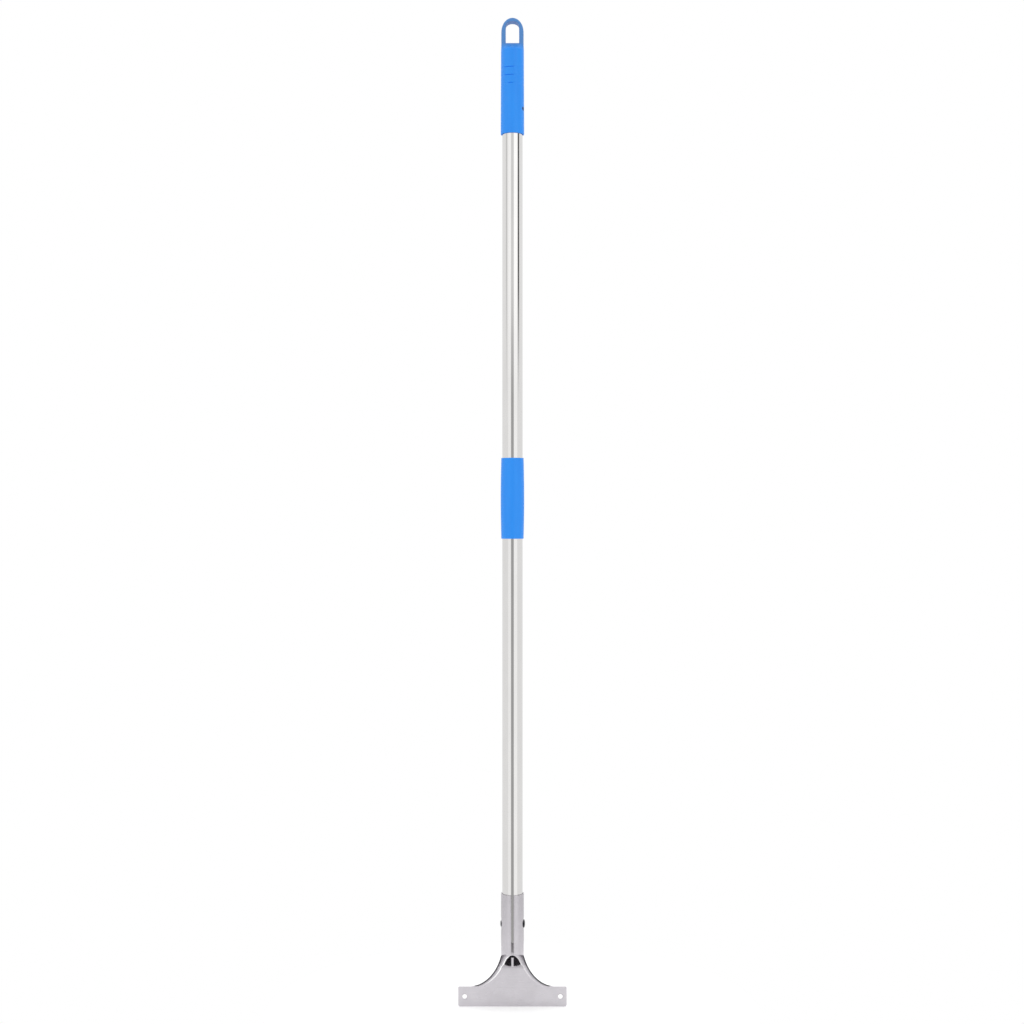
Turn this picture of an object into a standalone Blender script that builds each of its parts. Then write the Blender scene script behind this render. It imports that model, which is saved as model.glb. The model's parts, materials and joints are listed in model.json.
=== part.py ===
"""Two-section cleaning pole with a stamped head for a blade or a pad.

Metres, +Z up along the pole. The origin is on the pole's axis at the head's bottom edge, X runs
along the head's width, and the sleeve's seam faces -Y. The upper section hangs from its loop, and
the lower section unscrews from it by a right-handed thread hidden in the middle grip.
"""

import math

import bmesh
import bpy
from mathutils import Matrix, Vector

# Overall sizes
POLE_LENGTH = 1.2115
HEAD_WIDTH = 0.1332
JOINT_HEIGHT = 0.6239

# Clearances
FIT_GAP = 0.0003
THREAD_GAP = 0.0004
OVERLAP = 0.0006
REACH = 0.02

# Tubes
TUBE_RADIUS = 0.0125
TUBE_WALL = 0.0005

# Stamped head
SHEET = 0.0012
SLEEVE_TOP = 0.1404
SLEEVE_BOTTOM = 0.064
SEAM_WIDTH = 0.0028
TUBE_FOOT = 0.0829
SLEEVE_SLOPE = 0.35
PLATE_SET_BACK = 0.0056
RAMP_TOP = 0.0605
RAMP_FOOT = 0.0475
FLOOR_SPREAD = 0.1154
BAND_HEIGHT = 0.0242
BAND_SHOULDER = 0.0156
BAND_TOP_CORNER = 0.001
BAND_LOW_CORNER = 0.0025
LIP_HEIGHT = 0.0065
EDGE_BEND = 0.0052
FOOT_BEND = 0.002
OUTLINE_TOP_PULL = (0.075, 0.38)
OUTLINE_FOOT_PULL = (0.56, 0.07)
HOLE_INSET = 0.0078
HOLE_RADIUS = 0.0028
COUNTERSINK_RADIUS = 0.004

# Rivet through the sleeve
RIVET_HEIGHT = 0.1032
RIVET_RADIUS = 0.0024
RIVET_HEAD_RADIUS = 0.005
RIVET_TAIL_RADIUS = 0.0039
RIVET_HEAD_PROUD = 0.0014
RIVET_TAIL_PROUD = 0.001
RIVET_HEAD_DEPTH = 0.0026
PLUG_LENGTH = 0.022

# Threaded joint
THREAD_PITCH = 0.004
THREAD_TURNS = 5
STUD_RADIUS = 0.0075
THREAD_DEPTH = 0.0015
THREAD_CREST = 0.0011
STUD_BORE = 0.0045
SOCKET_FOOT_BORE = 0.006
THREAD_RUNOUT = 0.00165
FLANGE = 0.0015
WASHER = 0.001
SPIGOT_PLUG = 0.0277
SOCKET_FOOT = 0.011
PIN_RADIUS = 0.0015
SPIGOT_PIN_RISE = 0.018

# Middle grip
MID_GRIP_LENGTH = 0.0987
MID_GRIP_END_WALL = 0.0009
MID_GRIP_WALL = 0.0016
MID_GRIP_CHAMFER = 0.0006

# Top grip and hanging loop
TOP_GRIP_LENGTH = 0.1424
TOP_GRIP_FOOT_WALL = 0.00155
TOP_GRIP_NECK_WALL = 0.0012
TOP_GRIP_CHAMFER = 0.0008
LOOP_STEP = 0.0003
LOOP_THICKNESS = 0.0138
LOOP_CROWN = 0.017
LOOP_EDGE = 0.0025
LOOP_TRIM = 0.0002
LOOP_HOLE_WIDTH = 0.0164
LOOP_HOLE_HEIGHT = 0.0269
LOOP_HOLE_CROWN = 0.006
LOOP_HOLE_CORNER = 0.002
LOOP_RIM = 0.0048
SHOULDER_HEIGHT = 0.007
SHOULDER_SET_DOWN = 0.0012
BORE_ROOF = 0.024
GROOVE_DEPTH = 0.0003
GROOVE_WIDTH = 0.0008
GROOVE_PITCH = 0.0098
GROOVE_COUNT = 3
GROOVE_RISE = 0.0608
GRIP_SCREW_RISE = 0.0308
GRIP_SCREW_RADIUS = 0.0011
GRIP_SCREW_HEAD_RADIUS = 0.0022
GRIP_SCREW_LENGTH = 0.009
GRIP_SCREW_RIM = 0.0002
GRIP_SCREW_BEARING = math.radians(67)

# How finely curves are divided
ROUND_SEGMENTS = 40
INNER_SEGMENTS = 24
SMALL_SEGMENTS = 16
ARC_STEPS = 8
FAN_ROWS = 18
FLAT_COLUMNS = 4
BEND_COLUMNS = 9
WRAP_COLUMNS = 8
ARM_COLUMNS = 8

# Sizes that follow
SLEEVE_INSIDE = TUBE_RADIUS + FIT_GAP
SLEEVE_MIDDLE = SLEEVE_INSIDE + SHEET / 2
SLEEVE_OUTSIDE = SLEEVE_INSIDE + SHEET
TUBE_BORE = TUBE_RADIUS - TUBE_WALL
INSERT_RADIUS = TUBE_BORE - FIT_GAP
GRIP_BORE = TUBE_RADIUS + FIT_GAP
MID_GRIP_END_RADIUS = GRIP_BORE + MID_GRIP_END_WALL
MID_GRIP_RADIUS = GRIP_BORE + MID_GRIP_WALL
TOP_GRIP_FOOT_RADIUS = GRIP_BORE + TOP_GRIP_FOOT_WALL
TOP_GRIP_NECK_RADIUS = GRIP_BORE + TOP_GRIP_NECK_WALL
LOOP_WIDTH = 2 * (TOP_GRIP_NECK_RADIUS - LOOP_STEP)
HALF_WASHER = WASHER / 2
FLANGE_FACE = HALF_WASHER + FIT_GAP
FLANGE_BACK = FLANGE_FACE + FLANGE
TUBE_END = FLANGE_BACK + FIT_GAP
THREAD_OUTSIDE = STUD_RADIUS + THREAD_DEPTH
SOCKET_BORE = THREAD_OUTSIDE + THREAD_GAP
THREAD_RUN = THREAD_PITCH * THREAD_TURNS
SOCKET_THREAD_TOP = JOINT_HEIGHT - FLANGE_FACE - THREAD_RUNOUT
STUD_THREAD_FOOT = SOCKET_THREAD_TOP - THREAD_RUN - THREAD_PITCH / 2
STUD_END = STUD_THREAD_FOOT - THREAD_RUNOUT
SOCKET_STEP = STUD_END - THREAD_RUNOUT
SOCKET_END = SOCKET_STEP - SOCKET_FOOT
SOCKET_PIN_HEIGHT = SOCKET_STEP - SOCKET_FOOT / 2
SPIGOT_PIN_HEIGHT = JOINT_HEIGHT + SPIGOT_PIN_RISE
TOP_GRIP_FOOT = POLE_LENGTH - TOP_GRIP_LENGTH
LOOP_HOLE_TOP = POLE_LENGTH - LOOP_RIM
LOOP_HOLE_FOOT = LOOP_HOLE_TOP - LOOP_HOLE_HEIGHT
SHOULDER_TOP = LOOP_HOLE_FOOT - SHOULDER_SET_DOWN
SHOULDER_FOOT = SHOULDER_TOP - SHOULDER_HEIGHT
UPPER_TUBE_TOP = LOOP_HOLE_FOOT - BORE_ROOF - FIT_GAP
GRIP_SCREW_HEIGHT = TOP_GRIP_FOOT + GRIP_SCREW_RISE
FAN_FOOT = HEAD_WIDTH / 2 - BAND_SHOULDER
LIP_END = 1 - 1 / FAN_ROWS

# Colour, roughness and metallic value of each material
FINISHES = {
    "blue_grip": ((0.05, 0.30, 0.93, 1), 0.42, 0.0),
    "polished_tube": ((0.80, 0.79, 0.78, 1), 0.12, 1.0),
    "satin_sheet": ((0.62, 0.60, 0.62, 1), 0.34, 1.0),
    "rivet_steel": ((0.45, 0.44, 0.45, 1), 0.30, 1.0),
    "grey_nylon": ((0.24, 0.25, 0.27, 1), 0.55, 0.0),
    "black_rubber": ((0.03, 0.03, 0.03, 1), 0.80, 0.0),
}


def clear_scene():
    """Removes the objects of the open scene."""
    for old in list(bpy.data.objects):
        bpy.data.objects.remove(old, do_unlink=True)


def finish(name):
    """The material of this name, made once."""
    found = bpy.data.materials.get(name)
    if found:
        return found
    colour, roughness, metallic = FINISHES[name]
    made = bpy.data.materials.new(name)
    made.use_nodes = True
    made.diffuse_color = colour
    shader = made.node_tree.nodes["Principled BSDF"]
    shader.inputs["Base Color"].default_value = colour
    shader.inputs["Roughness"].default_value = roughness
    shader.inputs["Metallic"].default_value = metallic
    return made


def section_empty(name, parent):
    """An empty on the joint's axis that carries the pieces of one section."""
    empty = bpy.data.objects.new(name, None)
    bpy.context.collection.objects.link(empty)
    empty.location = (0, 0, JOINT_HEIGHT)
    bpy.context.view_layer.update()
    if parent:
        empty.parent = parent
        empty.matrix_parent_inverse = parent.matrix_world.inverted()
    bpy.context.view_layer.update()
    return empty


def add_object(name, bm):
    """Turns a bmesh into an object of its own."""
    bmesh.ops.recalc_face_normals(bm, faces=bm.faces)
    mesh = bpy.data.meshes.new(name)
    bm.to_mesh(mesh)
    bm.free()
    mesh.shade_smooth()
    mesh.set_sharp_from_angle(angle=math.radians(35))
    made = bpy.data.objects.new(name, mesh)
    bpy.context.collection.objects.link(made)
    return made


def piece(name, bm, finish_name, section):
    """A sub-part with its finish, carried by its section's empty."""
    made = add_object(name, bm)
    made.data.materials.append(finish(finish_name))
    made.parent = section
    made.matrix_parent_inverse = section.matrix_world.inverted()
    return made


def guide(name, bm):
    """A hidden shape that a Boolean cuts with or joins on."""
    made = add_object(name, bm)
    made.hide_render = True
    made.display_type = "WIRE"
    return made


def boolean(target, operation, other):
    """Adds an exact Boolean with a hidden shape."""
    modifier = target.modifiers.new(other.name, "BOOLEAN")
    modifier.operation = operation
    modifier.solver = "EXACT"
    modifier.object = other


def turned(profile, segments):
    """A solid of revolution round Z from (radius, height) points; a ring where none is at radius 0."""
    bm = bmesh.new()
    points = [bm.verts.new((radius, 0, height)) for radius, height in profile]
    for first, second in zip(points, points[1:]):
        bm.edges.new((first, second))
    if profile[0][0] > 0:
        bm.edges.new((points[-1], points[0]))
    bmesh.ops.spin(
        bm,
        geom=bm.verts[:] + bm.edges[:],
        cent=(0, 0, 0),
        axis=(0, 0, 1),
        angle=math.tau,
        steps=segments,
        use_merge=True,
    )
    bmesh.ops.remove_doubles(bm, verts=bm.verts, dist=1e-6)
    return bm


def ring_profile(inner, outer, low, high):
    """The section of a plain ring or tube."""
    return [(outer, high), (outer, low), (inner, low), (inner, high)]


def rod(radius, start, end, axis, centre, segments=SMALL_SEGMENTS):
    """A round rod from start to end along X, Y or Z through the centre."""
    bm = bmesh.new()
    turn = {"X": Matrix.Rotation(math.pi / 2, 4, "Y"), "Y": Matrix.Rotation(math.pi / 2, 4, "X")}
    step = {"X": Vector((1, 0, 0)), "Y": Vector((0, 1, 0)), "Z": Vector((0, 0, 1))}[axis]
    place = Matrix.Translation(Vector(centre) + step * (start + end) / 2)
    bmesh.ops.create_cone(
        bm,
        cap_ends=True,
        segments=segments,
        radius1=radius,
        radius2=radius,
        depth=abs(end - start),
        matrix=place @ turn.get(axis, Matrix.Identity(4)),
    )
    return bm


def extruded_outline(outline, thickness):
    """A plate from (x, z) points, centred on the XZ plane and this thick along Y."""
    bm = bmesh.new()
    face = bm.faces.new([bm.verts.new((x, -thickness / 2, z)) for x, z in outline])
    extruded = bmesh.ops.extrude_face_region(bm, geom=[face])
    moved = [item for item in extruded["geom"] if isinstance(item, bmesh.types.BMVert)]
    bmesh.ops.translate(bm, verts=moved, vec=(0, thickness, 0))
    return bm


def arc_points(centre, radii, start, end, steps):
    """Points along an elliptic arc, with its angles in degrees."""
    angles = [math.radians(start + (end - start) * step / steps) for step in range(steps + 1)]
    return [
        (centre[0] + radii[0] * math.cos(angle), centre[1] + radii[1] * math.sin(angle))
        for angle in angles
    ]


# Tubes


def make_lower_tube(section):
    high = JOINT_HEIGHT - TUBE_END
    tube = piece(
        "lower_tube",
        turned(ring_profile(TUBE_BORE, TUBE_RADIUS, TUBE_FOOT, high), ROUND_SEGMENTS),
        "polished_tube",
        section,
    )
    boolean(tube, "DIFFERENCE", cross_hole("lower_tube_rivet_hole", RIVET_RADIUS, RIVET_HEIGHT))
    boolean(tube, "DIFFERENCE", cross_hole("lower_tube_pin_hole", PIN_RADIUS, SOCKET_PIN_HEIGHT))


def make_upper_tube(section):
    low = JOINT_HEIGHT + TUBE_END
    tube = piece(
        "upper_tube",
        turned(ring_profile(TUBE_BORE, TUBE_RADIUS, low, UPPER_TUBE_TOP), ROUND_SEGMENTS),
        "polished_tube",
        section,
    )
    boolean(tube, "DIFFERENCE", cross_hole("upper_tube_pin_hole", PIN_RADIUS, SPIGOT_PIN_HEIGHT))
    neck = GRIP_SCREW_RADIUS + FIT_GAP
    screw_hole = rod(neck, TUBE_BORE / 2, TUBE_RADIUS + REACH, "X", (0, 0, GRIP_SCREW_HEIGHT))
    turn_to_screw(screw_hole)
    boolean(tube, "DIFFERENCE", guide("upper_tube_screw_hole", screw_hole))


def turn_to_screw(bm):
    """Turns a shape that lies along +X round the pole to the grip screw's bearing from -Y."""
    turn = Matrix.Rotation(GRIP_SCREW_BEARING - math.pi / 2, 4, "Z")
    bmesh.ops.transform(bm, matrix=turn, verts=bm.verts)


def cross_hole(name, radius, height):
    """A cutter right across the pole along X for a rod of this radius."""
    reach = TUBE_RADIUS + REACH
    return guide(name, rod(radius + FIT_GAP, -reach, reach, "X", (0, 0, height)))


# Threaded joint


def thread_root_width():
    """The ridge's width at its root that leaves THREAD_GAP along the axis beside its mate."""
    spare = THREAD_PITCH / 2 - THREAD_GAP - THREAD_CREST
    return THREAD_CREST + 2 * spare * THREAD_DEPTH / (THREAD_DEPTH - THREAD_GAP)


def thread_ridge(name, wall_radius, crest_radius, start):
    """A right-handed helical ridge that stands on a wall and is sunk a little into it."""
    sunk = wall_radius + math.copysign(OVERLAP, wall_radius - crest_radius)
    root, crest = thread_root_width() / 2, THREAD_CREST / 2
    half = [(sunk, root), (wall_radius, root), (crest_radius, crest)]
    outline = half + [(radius, -height) for radius, height in reversed(half)]
    bm = bmesh.new()
    bm.faces.new([bm.verts.new((radius, 0, start + height)) for radius, height in outline])
    steps = THREAD_TURNS * INNER_SEGMENTS
    bmesh.ops.spin(
        bm,
        geom=bm.verts[:] + bm.edges[:] + bm.faces[:],
        cent=(0, 0, 0),
        axis=(0, 0, 1),
        dvec=(0, 0, THREAD_RUN / steps),
        angle=math.tau * THREAD_TURNS,
        steps=steps,
    )
    return guide(name, bm)


def make_thread_spigot(section):
    flange_low = JOINT_HEIGHT + FLANGE_FACE
    flange_high = JOINT_HEIGHT + FLANGE_BACK
    plug_top = flange_high + SPIGOT_PLUG
    profile = [
        (STUD_BORE, plug_top),
        (INSERT_RADIUS, plug_top),
        (INSERT_RADIUS, flange_high),
        (TUBE_RADIUS, flange_high),
        (TUBE_RADIUS, flange_low),
        (STUD_RADIUS, flange_low),
        (STUD_RADIUS, STUD_END),
        (STUD_BORE, STUD_END),
    ]
    spigot = piece("thread_spigot", turned(profile, INNER_SEGMENTS), "grey_nylon", section)
    ridge = thread_ridge("spigot_ridge", STUD_RADIUS, THREAD_OUTSIDE, STUD_THREAD_FOOT)
    boolean(spigot, "UNION", ridge)
    boolean(spigot, "DIFFERENCE", cross_hole("spigot_pin_hole", PIN_RADIUS, SPIGOT_PIN_HEIGHT))


def make_thread_socket(section):
    flange_high = JOINT_HEIGHT - FLANGE_FACE
    flange_low = JOINT_HEIGHT - FLANGE_BACK
    profile = [
        (SOCKET_BORE, flange_high),
        (TUBE_RADIUS, flange_high),
        (TUBE_RADIUS, flange_low),
        (INSERT_RADIUS, flange_low),
        (INSERT_RADIUS, SOCKET_END),
        (SOCKET_FOOT_BORE, SOCKET_END),
        (SOCKET_FOOT_BORE, SOCKET_STEP),
        (SOCKET_BORE, SOCKET_STEP),
    ]
    socket = piece("thread_socket", turned(profile, INNER_SEGMENTS), "grey_nylon", section)
    start = STUD_THREAD_FOOT + THREAD_PITCH / 2
    ridge = thread_ridge("socket_ridge", SOCKET_BORE, STUD_RADIUS + THREAD_GAP, start)
    boolean(socket, "UNION", ridge)
    boolean(socket, "DIFFERENCE", cross_hole("socket_pin_hole", PIN_RADIUS, SOCKET_PIN_HEIGHT))


def make_cross_pin(name, height, section):
    """A pin that ends just inside the tube's outer face, so that nothing rubs the grip."""
    half = TUBE_RADIUS - FIT_GAP
    piece(name, rod(PIN_RADIUS, -half, half, "X", (0, 0, height)), "rivet_steel", section)


def make_joint_washer(section):
    low = JOINT_HEIGHT - HALF_WASHER
    high = JOINT_HEIGHT + HALF_WASHER
    profile = ring_profile(SOCKET_BORE, TUBE_RADIUS - FIT_GAP, low, high)
    piece("joint_washer", turned(profile, INNER_SEGMENTS), "black_rubber", section)


# Grips


def make_mid_grip(section):
    """A barrel-shaped sleeve whose profile bulges by half a cosine between its ends."""
    half = MID_GRIP_LENGTH / 2
    bulge = MID_GRIP_RADIUS - MID_GRIP_END_RADIUS
    inset = MID_GRIP_CHAMFER
    barrel = []
    for step in range(ARC_STEPS + 1):
        along = 1 - 2 * step / ARC_STEPS
        radius = MID_GRIP_END_RADIUS + bulge * math.cos(along * math.pi / 2)
        barrel.append((radius, JOINT_HEIGHT + along * (half - inset)))
    edge = MID_GRIP_END_RADIUS - inset / 2
    profile = [(edge, JOINT_HEIGHT + half)] + barrel + [(edge, JOINT_HEIGHT - half)]
    profile += [(GRIP_BORE, JOINT_HEIGHT - half), (GRIP_BORE, JOINT_HEIGHT + half)]
    piece("mid_grip", turned(profile, ROUND_SEGMENTS), "blue_grip", section)


def top_grip_radius(height):
    """The grip's tapering outer radius at a height."""
    share = (height - TOP_GRIP_FOOT) / (SHOULDER_FOOT - TOP_GRIP_FOOT)
    return TOP_GRIP_FOOT_RADIUS + (TOP_GRIP_NECK_RADIUS - TOP_GRIP_FOOT_RADIUS) * share


def groove_profile(height):
    """A shallow ring groove, from its upper edge to its lower edge."""
    high, low = height + GROOVE_WIDTH / 2, height - GROOVE_WIDTH / 2
    return [
        (top_grip_radius(high), high),
        (top_grip_radius(height) - GROOVE_DEPTH, height),
        (top_grip_radius(low), low),
    ]


def top_grip_body():
    """The turned body: domed shoulder, three grooves, a bore for the tube."""
    dome = arc_points(
        (0, SHOULDER_FOOT), (TOP_GRIP_NECK_RADIUS, SHOULDER_HEIGHT), 90, 0, ARC_STEPS
    )
    profile = [(0, SHOULDER_TOP)] + dome[1:]
    for index in reversed(range(GROOVE_COUNT)):
        profile += groove_profile(TOP_GRIP_FOOT + GROOVE_RISE + GROOVE_PITCH * index)
    profile += [
        (TOP_GRIP_FOOT_RADIUS, TOP_GRIP_FOOT + TOP_GRIP_CHAMFER),
        (TOP_GRIP_FOOT_RADIUS - TOP_GRIP_CHAMFER / 2, TOP_GRIP_FOOT),
        (GRIP_BORE, TOP_GRIP_FOOT),
        (GRIP_BORE, UPPER_TUBE_TOP + FIT_GAP),
        (0, UPPER_TUBE_TOP + FIT_GAP),
    ]
    return turned(profile, ROUND_SEGMENTS)


def loop_plate():
    """The flat loop with rounded edges; its foot is buried in the grip's shoulder."""
    half = LOOP_WIDTH / 2
    foot = SHOULDER_FOOT - SHOULDER_HEIGHT
    crown = arc_points((0, POLE_LENGTH - LOOP_CROWN), (half, LOOP_CROWN), 0, 180, 2 * ARC_STEPS)
    bm = extruded_outline([(half, foot)] + crown + [(-half, foot)], LOOP_THICKNESS)
    rims = [edge for edge in bm.edges if abs(edge.verts[0].co.y - edge.verts[1].co.y) < 1e-6]
    bmesh.ops.bevel(
        bm, geom=rims, offset=LOOP_EDGE, segments=3, profile=0.5, affect="EDGES", material=-1
    )
    plate = guide("loop_plate", bm)
    bar_radius = LOOP_WIDTH / 2 + LOOP_TRIM
    bar = rod(bar_radius, foot - REACH, POLE_LENGTH + REACH, "Z", (0, 0, 0), 2 * ROUND_SEGMENTS)
    boolean(plate, "INTERSECT", guide("loop_bar", bar))
    return plate


def loop_hole():
    """The hole's outline: arched top, flat foot with rounded corners."""
    half = LOOP_HOLE_WIDTH / 2
    corner = LOOP_HOLE_CORNER
    crown_centre = (0, LOOP_HOLE_TOP - LOOP_HOLE_CROWN)
    outline = arc_points(crown_centre, (half, LOOP_HOLE_CROWN), 0, 180, 2 * ARC_STEPS)
    low = LOOP_HOLE_FOOT + corner
    outline += arc_points((corner - half, low), (corner, corner), 180, 270, 3)
    outline += arc_points((half - corner, low), (corner, corner), 270, 360, 3)
    return extruded_outline(outline, LOOP_THICKNESS + REACH)


def screw_shape(gap, rise, tip_x):
    """The countersunk screw, or the hole for it: wider by the gap and higher by the rise."""
    head_x = top_grip_radius(GRIP_SCREW_HEIGHT) - FIT_GAP
    neck = GRIP_SCREW_RADIUS + gap
    head = GRIP_SCREW_HEAD_RADIUS + gap
    profile = [(0, head_x + rise), (head, head_x + rise), (head, head_x - GRIP_SCREW_RIM)]
    profile += [(neck, head_x - GRIP_SCREW_RIM - (head - neck)), (neck, tip_x), (0, tip_x)]
    bm = turned(profile, SMALL_SEGMENTS)
    to_x = Matrix.Translation((0, 0, GRIP_SCREW_HEIGHT)) @ Matrix.Rotation(math.pi / 2, 4, "Y")
    bmesh.ops.transform(bm, matrix=to_x, verts=bm.verts)
    turn_to_screw(bm)
    return bm


def make_top_grip(section):
    grip = piece("top_grip", top_grip_body(), "blue_grip", section)
    boolean(grip, "UNION", loop_plate())
    boolean(grip, "DIFFERENCE", guide("loop_hole", loop_hole()))
    countersink = screw_shape(FIT_GAP * math.sqrt(2), REACH, TUBE_BORE)
    boolean(grip, "DIFFERENCE", guide("grip_screw_hole", countersink))


def make_top_grip_screw(section):
    tip_x = top_grip_radius(GRIP_SCREW_HEIGHT) - GRIP_SCREW_LENGTH
    piece("top_grip_screw", screw_shape(0, 0, tip_x), "rivet_steel", section)


# Head


def blend(start, end, share):
    return start + (end - start) * min(max(share, 0), 1)


def fan_outline(t):
    """Half-width, height and slope of the fan's edge, on one cubic curve from sleeve to band."""
    run = FAN_FOOT - SLEEVE_MIDDLE
    drop = SLEEVE_BOTTOM - BAND_HEIGHT
    start = Vector((SLEEVE_MIDDLE, SLEEVE_BOTTOM))
    end = Vector((FAN_FOOT, BAND_HEIGHT))
    near_start = start + Vector((OUTLINE_TOP_PULL[0] * run, -OUTLINE_TOP_PULL[1] * drop))
    near_end = end + Vector((-OUTLINE_FOOT_PULL[0] * run, OUTLINE_FOOT_PULL[1] * drop))
    s = 1 - t
    point = s**3 * start + 3 * s * s * t * near_start + 3 * s * t * t * near_end + t**3 * end
    tangent = s * s * (near_start - start) + 2 * s * t * (near_end - near_start)
    tangent += t * t * (end - near_end)
    return point.x, point.y, abs(tangent.y) / tangent.length


def channel_floor(height):
    """How far back the channel's floor is: the sleeve's back, then the ramp, then the plate."""
    return blend(SLEEVE_MIDDLE, PLATE_SET_BACK, (RAMP_TOP - height) / (RAMP_TOP - RAMP_FOOT))


def fan_point(column, t):
    """A point of the fan's middle surface; column counts out from the centre line."""
    half_width, height, lean = fan_outline(t)
    opening = (SLEEVE_BOTTOM - height) / (SLEEVE_BOTTOM - RAMP_FOOT)
    spread = (RAMP_FOOT - height) / (RAMP_FOOT - BAND_HEIGHT)
    bend = blend(EDGE_BEND, FOOT_BEND, spread)
    lip = blend(SLEEVE_MIDDLE, LIP_HEIGHT, opening) * (1 - blend(0, 1, t / LIP_END) ** 5)
    spreading = FLOOR_SPREAD * math.sqrt(max(RAMP_TOP - height, 0))
    flat = max(min(half_width - bend / lean, spreading), 0)
    reach = half_width - flat
    rise = min(reach * lean, lip)
    side, index = math.copysign(1, column), abs(column)
    if index <= FLAT_COLUMNS:
        x = flat * index / FLAT_COLUMNS
        y = channel_floor(height)
    elif index <= FLAT_COLUMNS + BEND_COLUMNS:
        angle = (index - FLAT_COLUMNS) / BEND_COLUMNS * math.pi / 2
        x = flat + reach * math.sin(angle)
        y = channel_floor(height) - rise + rise * math.cos(angle)
    else:
        x, y = half_width, channel_floor(height) - lip
    return Vector((side * x, y, height))


def sleeve_point(column, share):
    """A point of the sleeve; the columns past the fan's wrap round to the seam."""
    edge = FLAT_COLUMNS + BEND_COLUMNS
    side, index = math.copysign(1, column), abs(column)
    if index <= edge:
        place = fan_point(column, 0)
        return Vector((place.x, place.y, blend(SLEEVE_BOTTOM, SLEEVE_TOP, share)))
    seam = math.pi - math.asin(SEAM_WIDTH / 2 / SLEEVE_MIDDLE)
    angle = blend(math.pi / 2, seam, (index - edge) / WRAP_COLUMNS)
    x, y = side * SLEEVE_MIDDLE * math.sin(angle), SLEEVE_MIDDLE * math.cos(angle)
    foot = SLEEVE_BOTTOM - SLEEVE_SLOPE * y
    return Vector((x, y, blend(foot, SLEEVE_TOP, share)))


def band_corner(x, radius):
    """How far a rounded corner of the band has cut in at this half-width."""
    past = max(x - (HEAD_WIDTH / 2 - radius), 0)
    return radius - math.sqrt(max(radius**2 - past**2, 0))


def band_point(column, share):
    """A point of the band; the columns past the fan's run out along the arms."""
    edge = FLAT_COLUMNS + BEND_COLUMNS
    side, index = math.copysign(1, column), abs(column)
    x = abs(fan_point(min(index, edge), 1).x)
    if index > edge:
        arm = (index - edge) / ARM_COLUMNS
        x = FAN_FOOT + BAND_SHOULDER * math.sin(arm * math.pi / 2)
    low = band_corner(x, BAND_LOW_CORNER)
    high = BAND_HEIGHT - band_corner(x, BAND_TOP_CORNER)
    return Vector((side * x, PLATE_SET_BACK, blend(low, high, share)))


def add_patch(bm, half_columns, rows, place):
    """Adds a grid whose points are placed by a rule of column and share of the height."""
    made = bmesh.ops.create_grid(bm, x_segments=2 * half_columns, y_segments=rows, size=1)
    for vert in made["verts"]:
        column = round(vert.co.x * half_columns)
        vert.co = place(column, (vert.co.y + 1) / 2)


def head_sheet():
    """Sleeve, fan and band as one sheet of no thickness."""
    bm = bmesh.new()
    edge = FLAT_COLUMNS + BEND_COLUMNS
    add_patch(bm, edge + WRAP_COLUMNS, 2, sleeve_point)
    add_patch(bm, edge, FAN_ROWS, fan_point)
    add_patch(bm, edge + ARM_COLUMNS, 2, band_point)
    bmesh.ops.remove_doubles(bm, verts=bm.verts, dist=1e-5)
    return bm


def blade_hole(name, side):
    """A screw hole in an arm of the band, countersunk from the front."""
    front = PLATE_SET_BACK - SHEET / 2
    sink = COUNTERSINK_RADIUS - HOLE_RADIUS
    profile = [
        (0, REACH),
        (HOLE_RADIUS, REACH),
        (HOLE_RADIUS, sink / 2),
        (COUNTERSINK_RADIUS, 0),
        (COUNTERSINK_RADIUS, -REACH / 4),
        (0, -REACH / 4),
    ]
    bm = turned(profile, SMALL_SEGMENTS)
    centre = (side * (HEAD_WIDTH / 2 - HOLE_INSET), front, BAND_HEIGHT / 2)
    to_y = Matrix.Translation(centre) @ Matrix.Rotation(-math.pi / 2, 4, "X")
    bmesh.ops.transform(bm, matrix=to_y, verts=bm.verts)
    return guide(name, bm)


def make_head(section):
    head = piece("head", head_sheet(), "satin_sheet", section)
    thickness = head.modifiers.new("sheet", "SOLIDIFY")
    thickness.thickness = SHEET
    thickness.offset = 0
    thickness.use_even_offset = True
    boolean(head, "DIFFERENCE", cross_hole("head_rivet_hole", RIVET_RADIUS, RIVET_HEIGHT))
    boolean(head, "DIFFERENCE", blade_hole("left_blade_hole", -1))
    boolean(head, "DIFFERENCE", blade_hole("right_blade_hole", 1))


def rivet_end(radius, proud):
    """A low dome that stands this far proud of the sleeve, turned round Z."""
    top = SLEEVE_OUTSIDE + proud
    low = top - RIVET_HEAD_DEPTH
    shoulder = low + RIVET_HEAD_DEPTH / 2
    dome = arc_points((0, shoulder), (radius, top - shoulder), 90, 0, 4)
    return turned([(0, top)] + dome[1:] + [(radius, low), (0, low)], 2 * SMALL_SEGMENTS)


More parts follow.
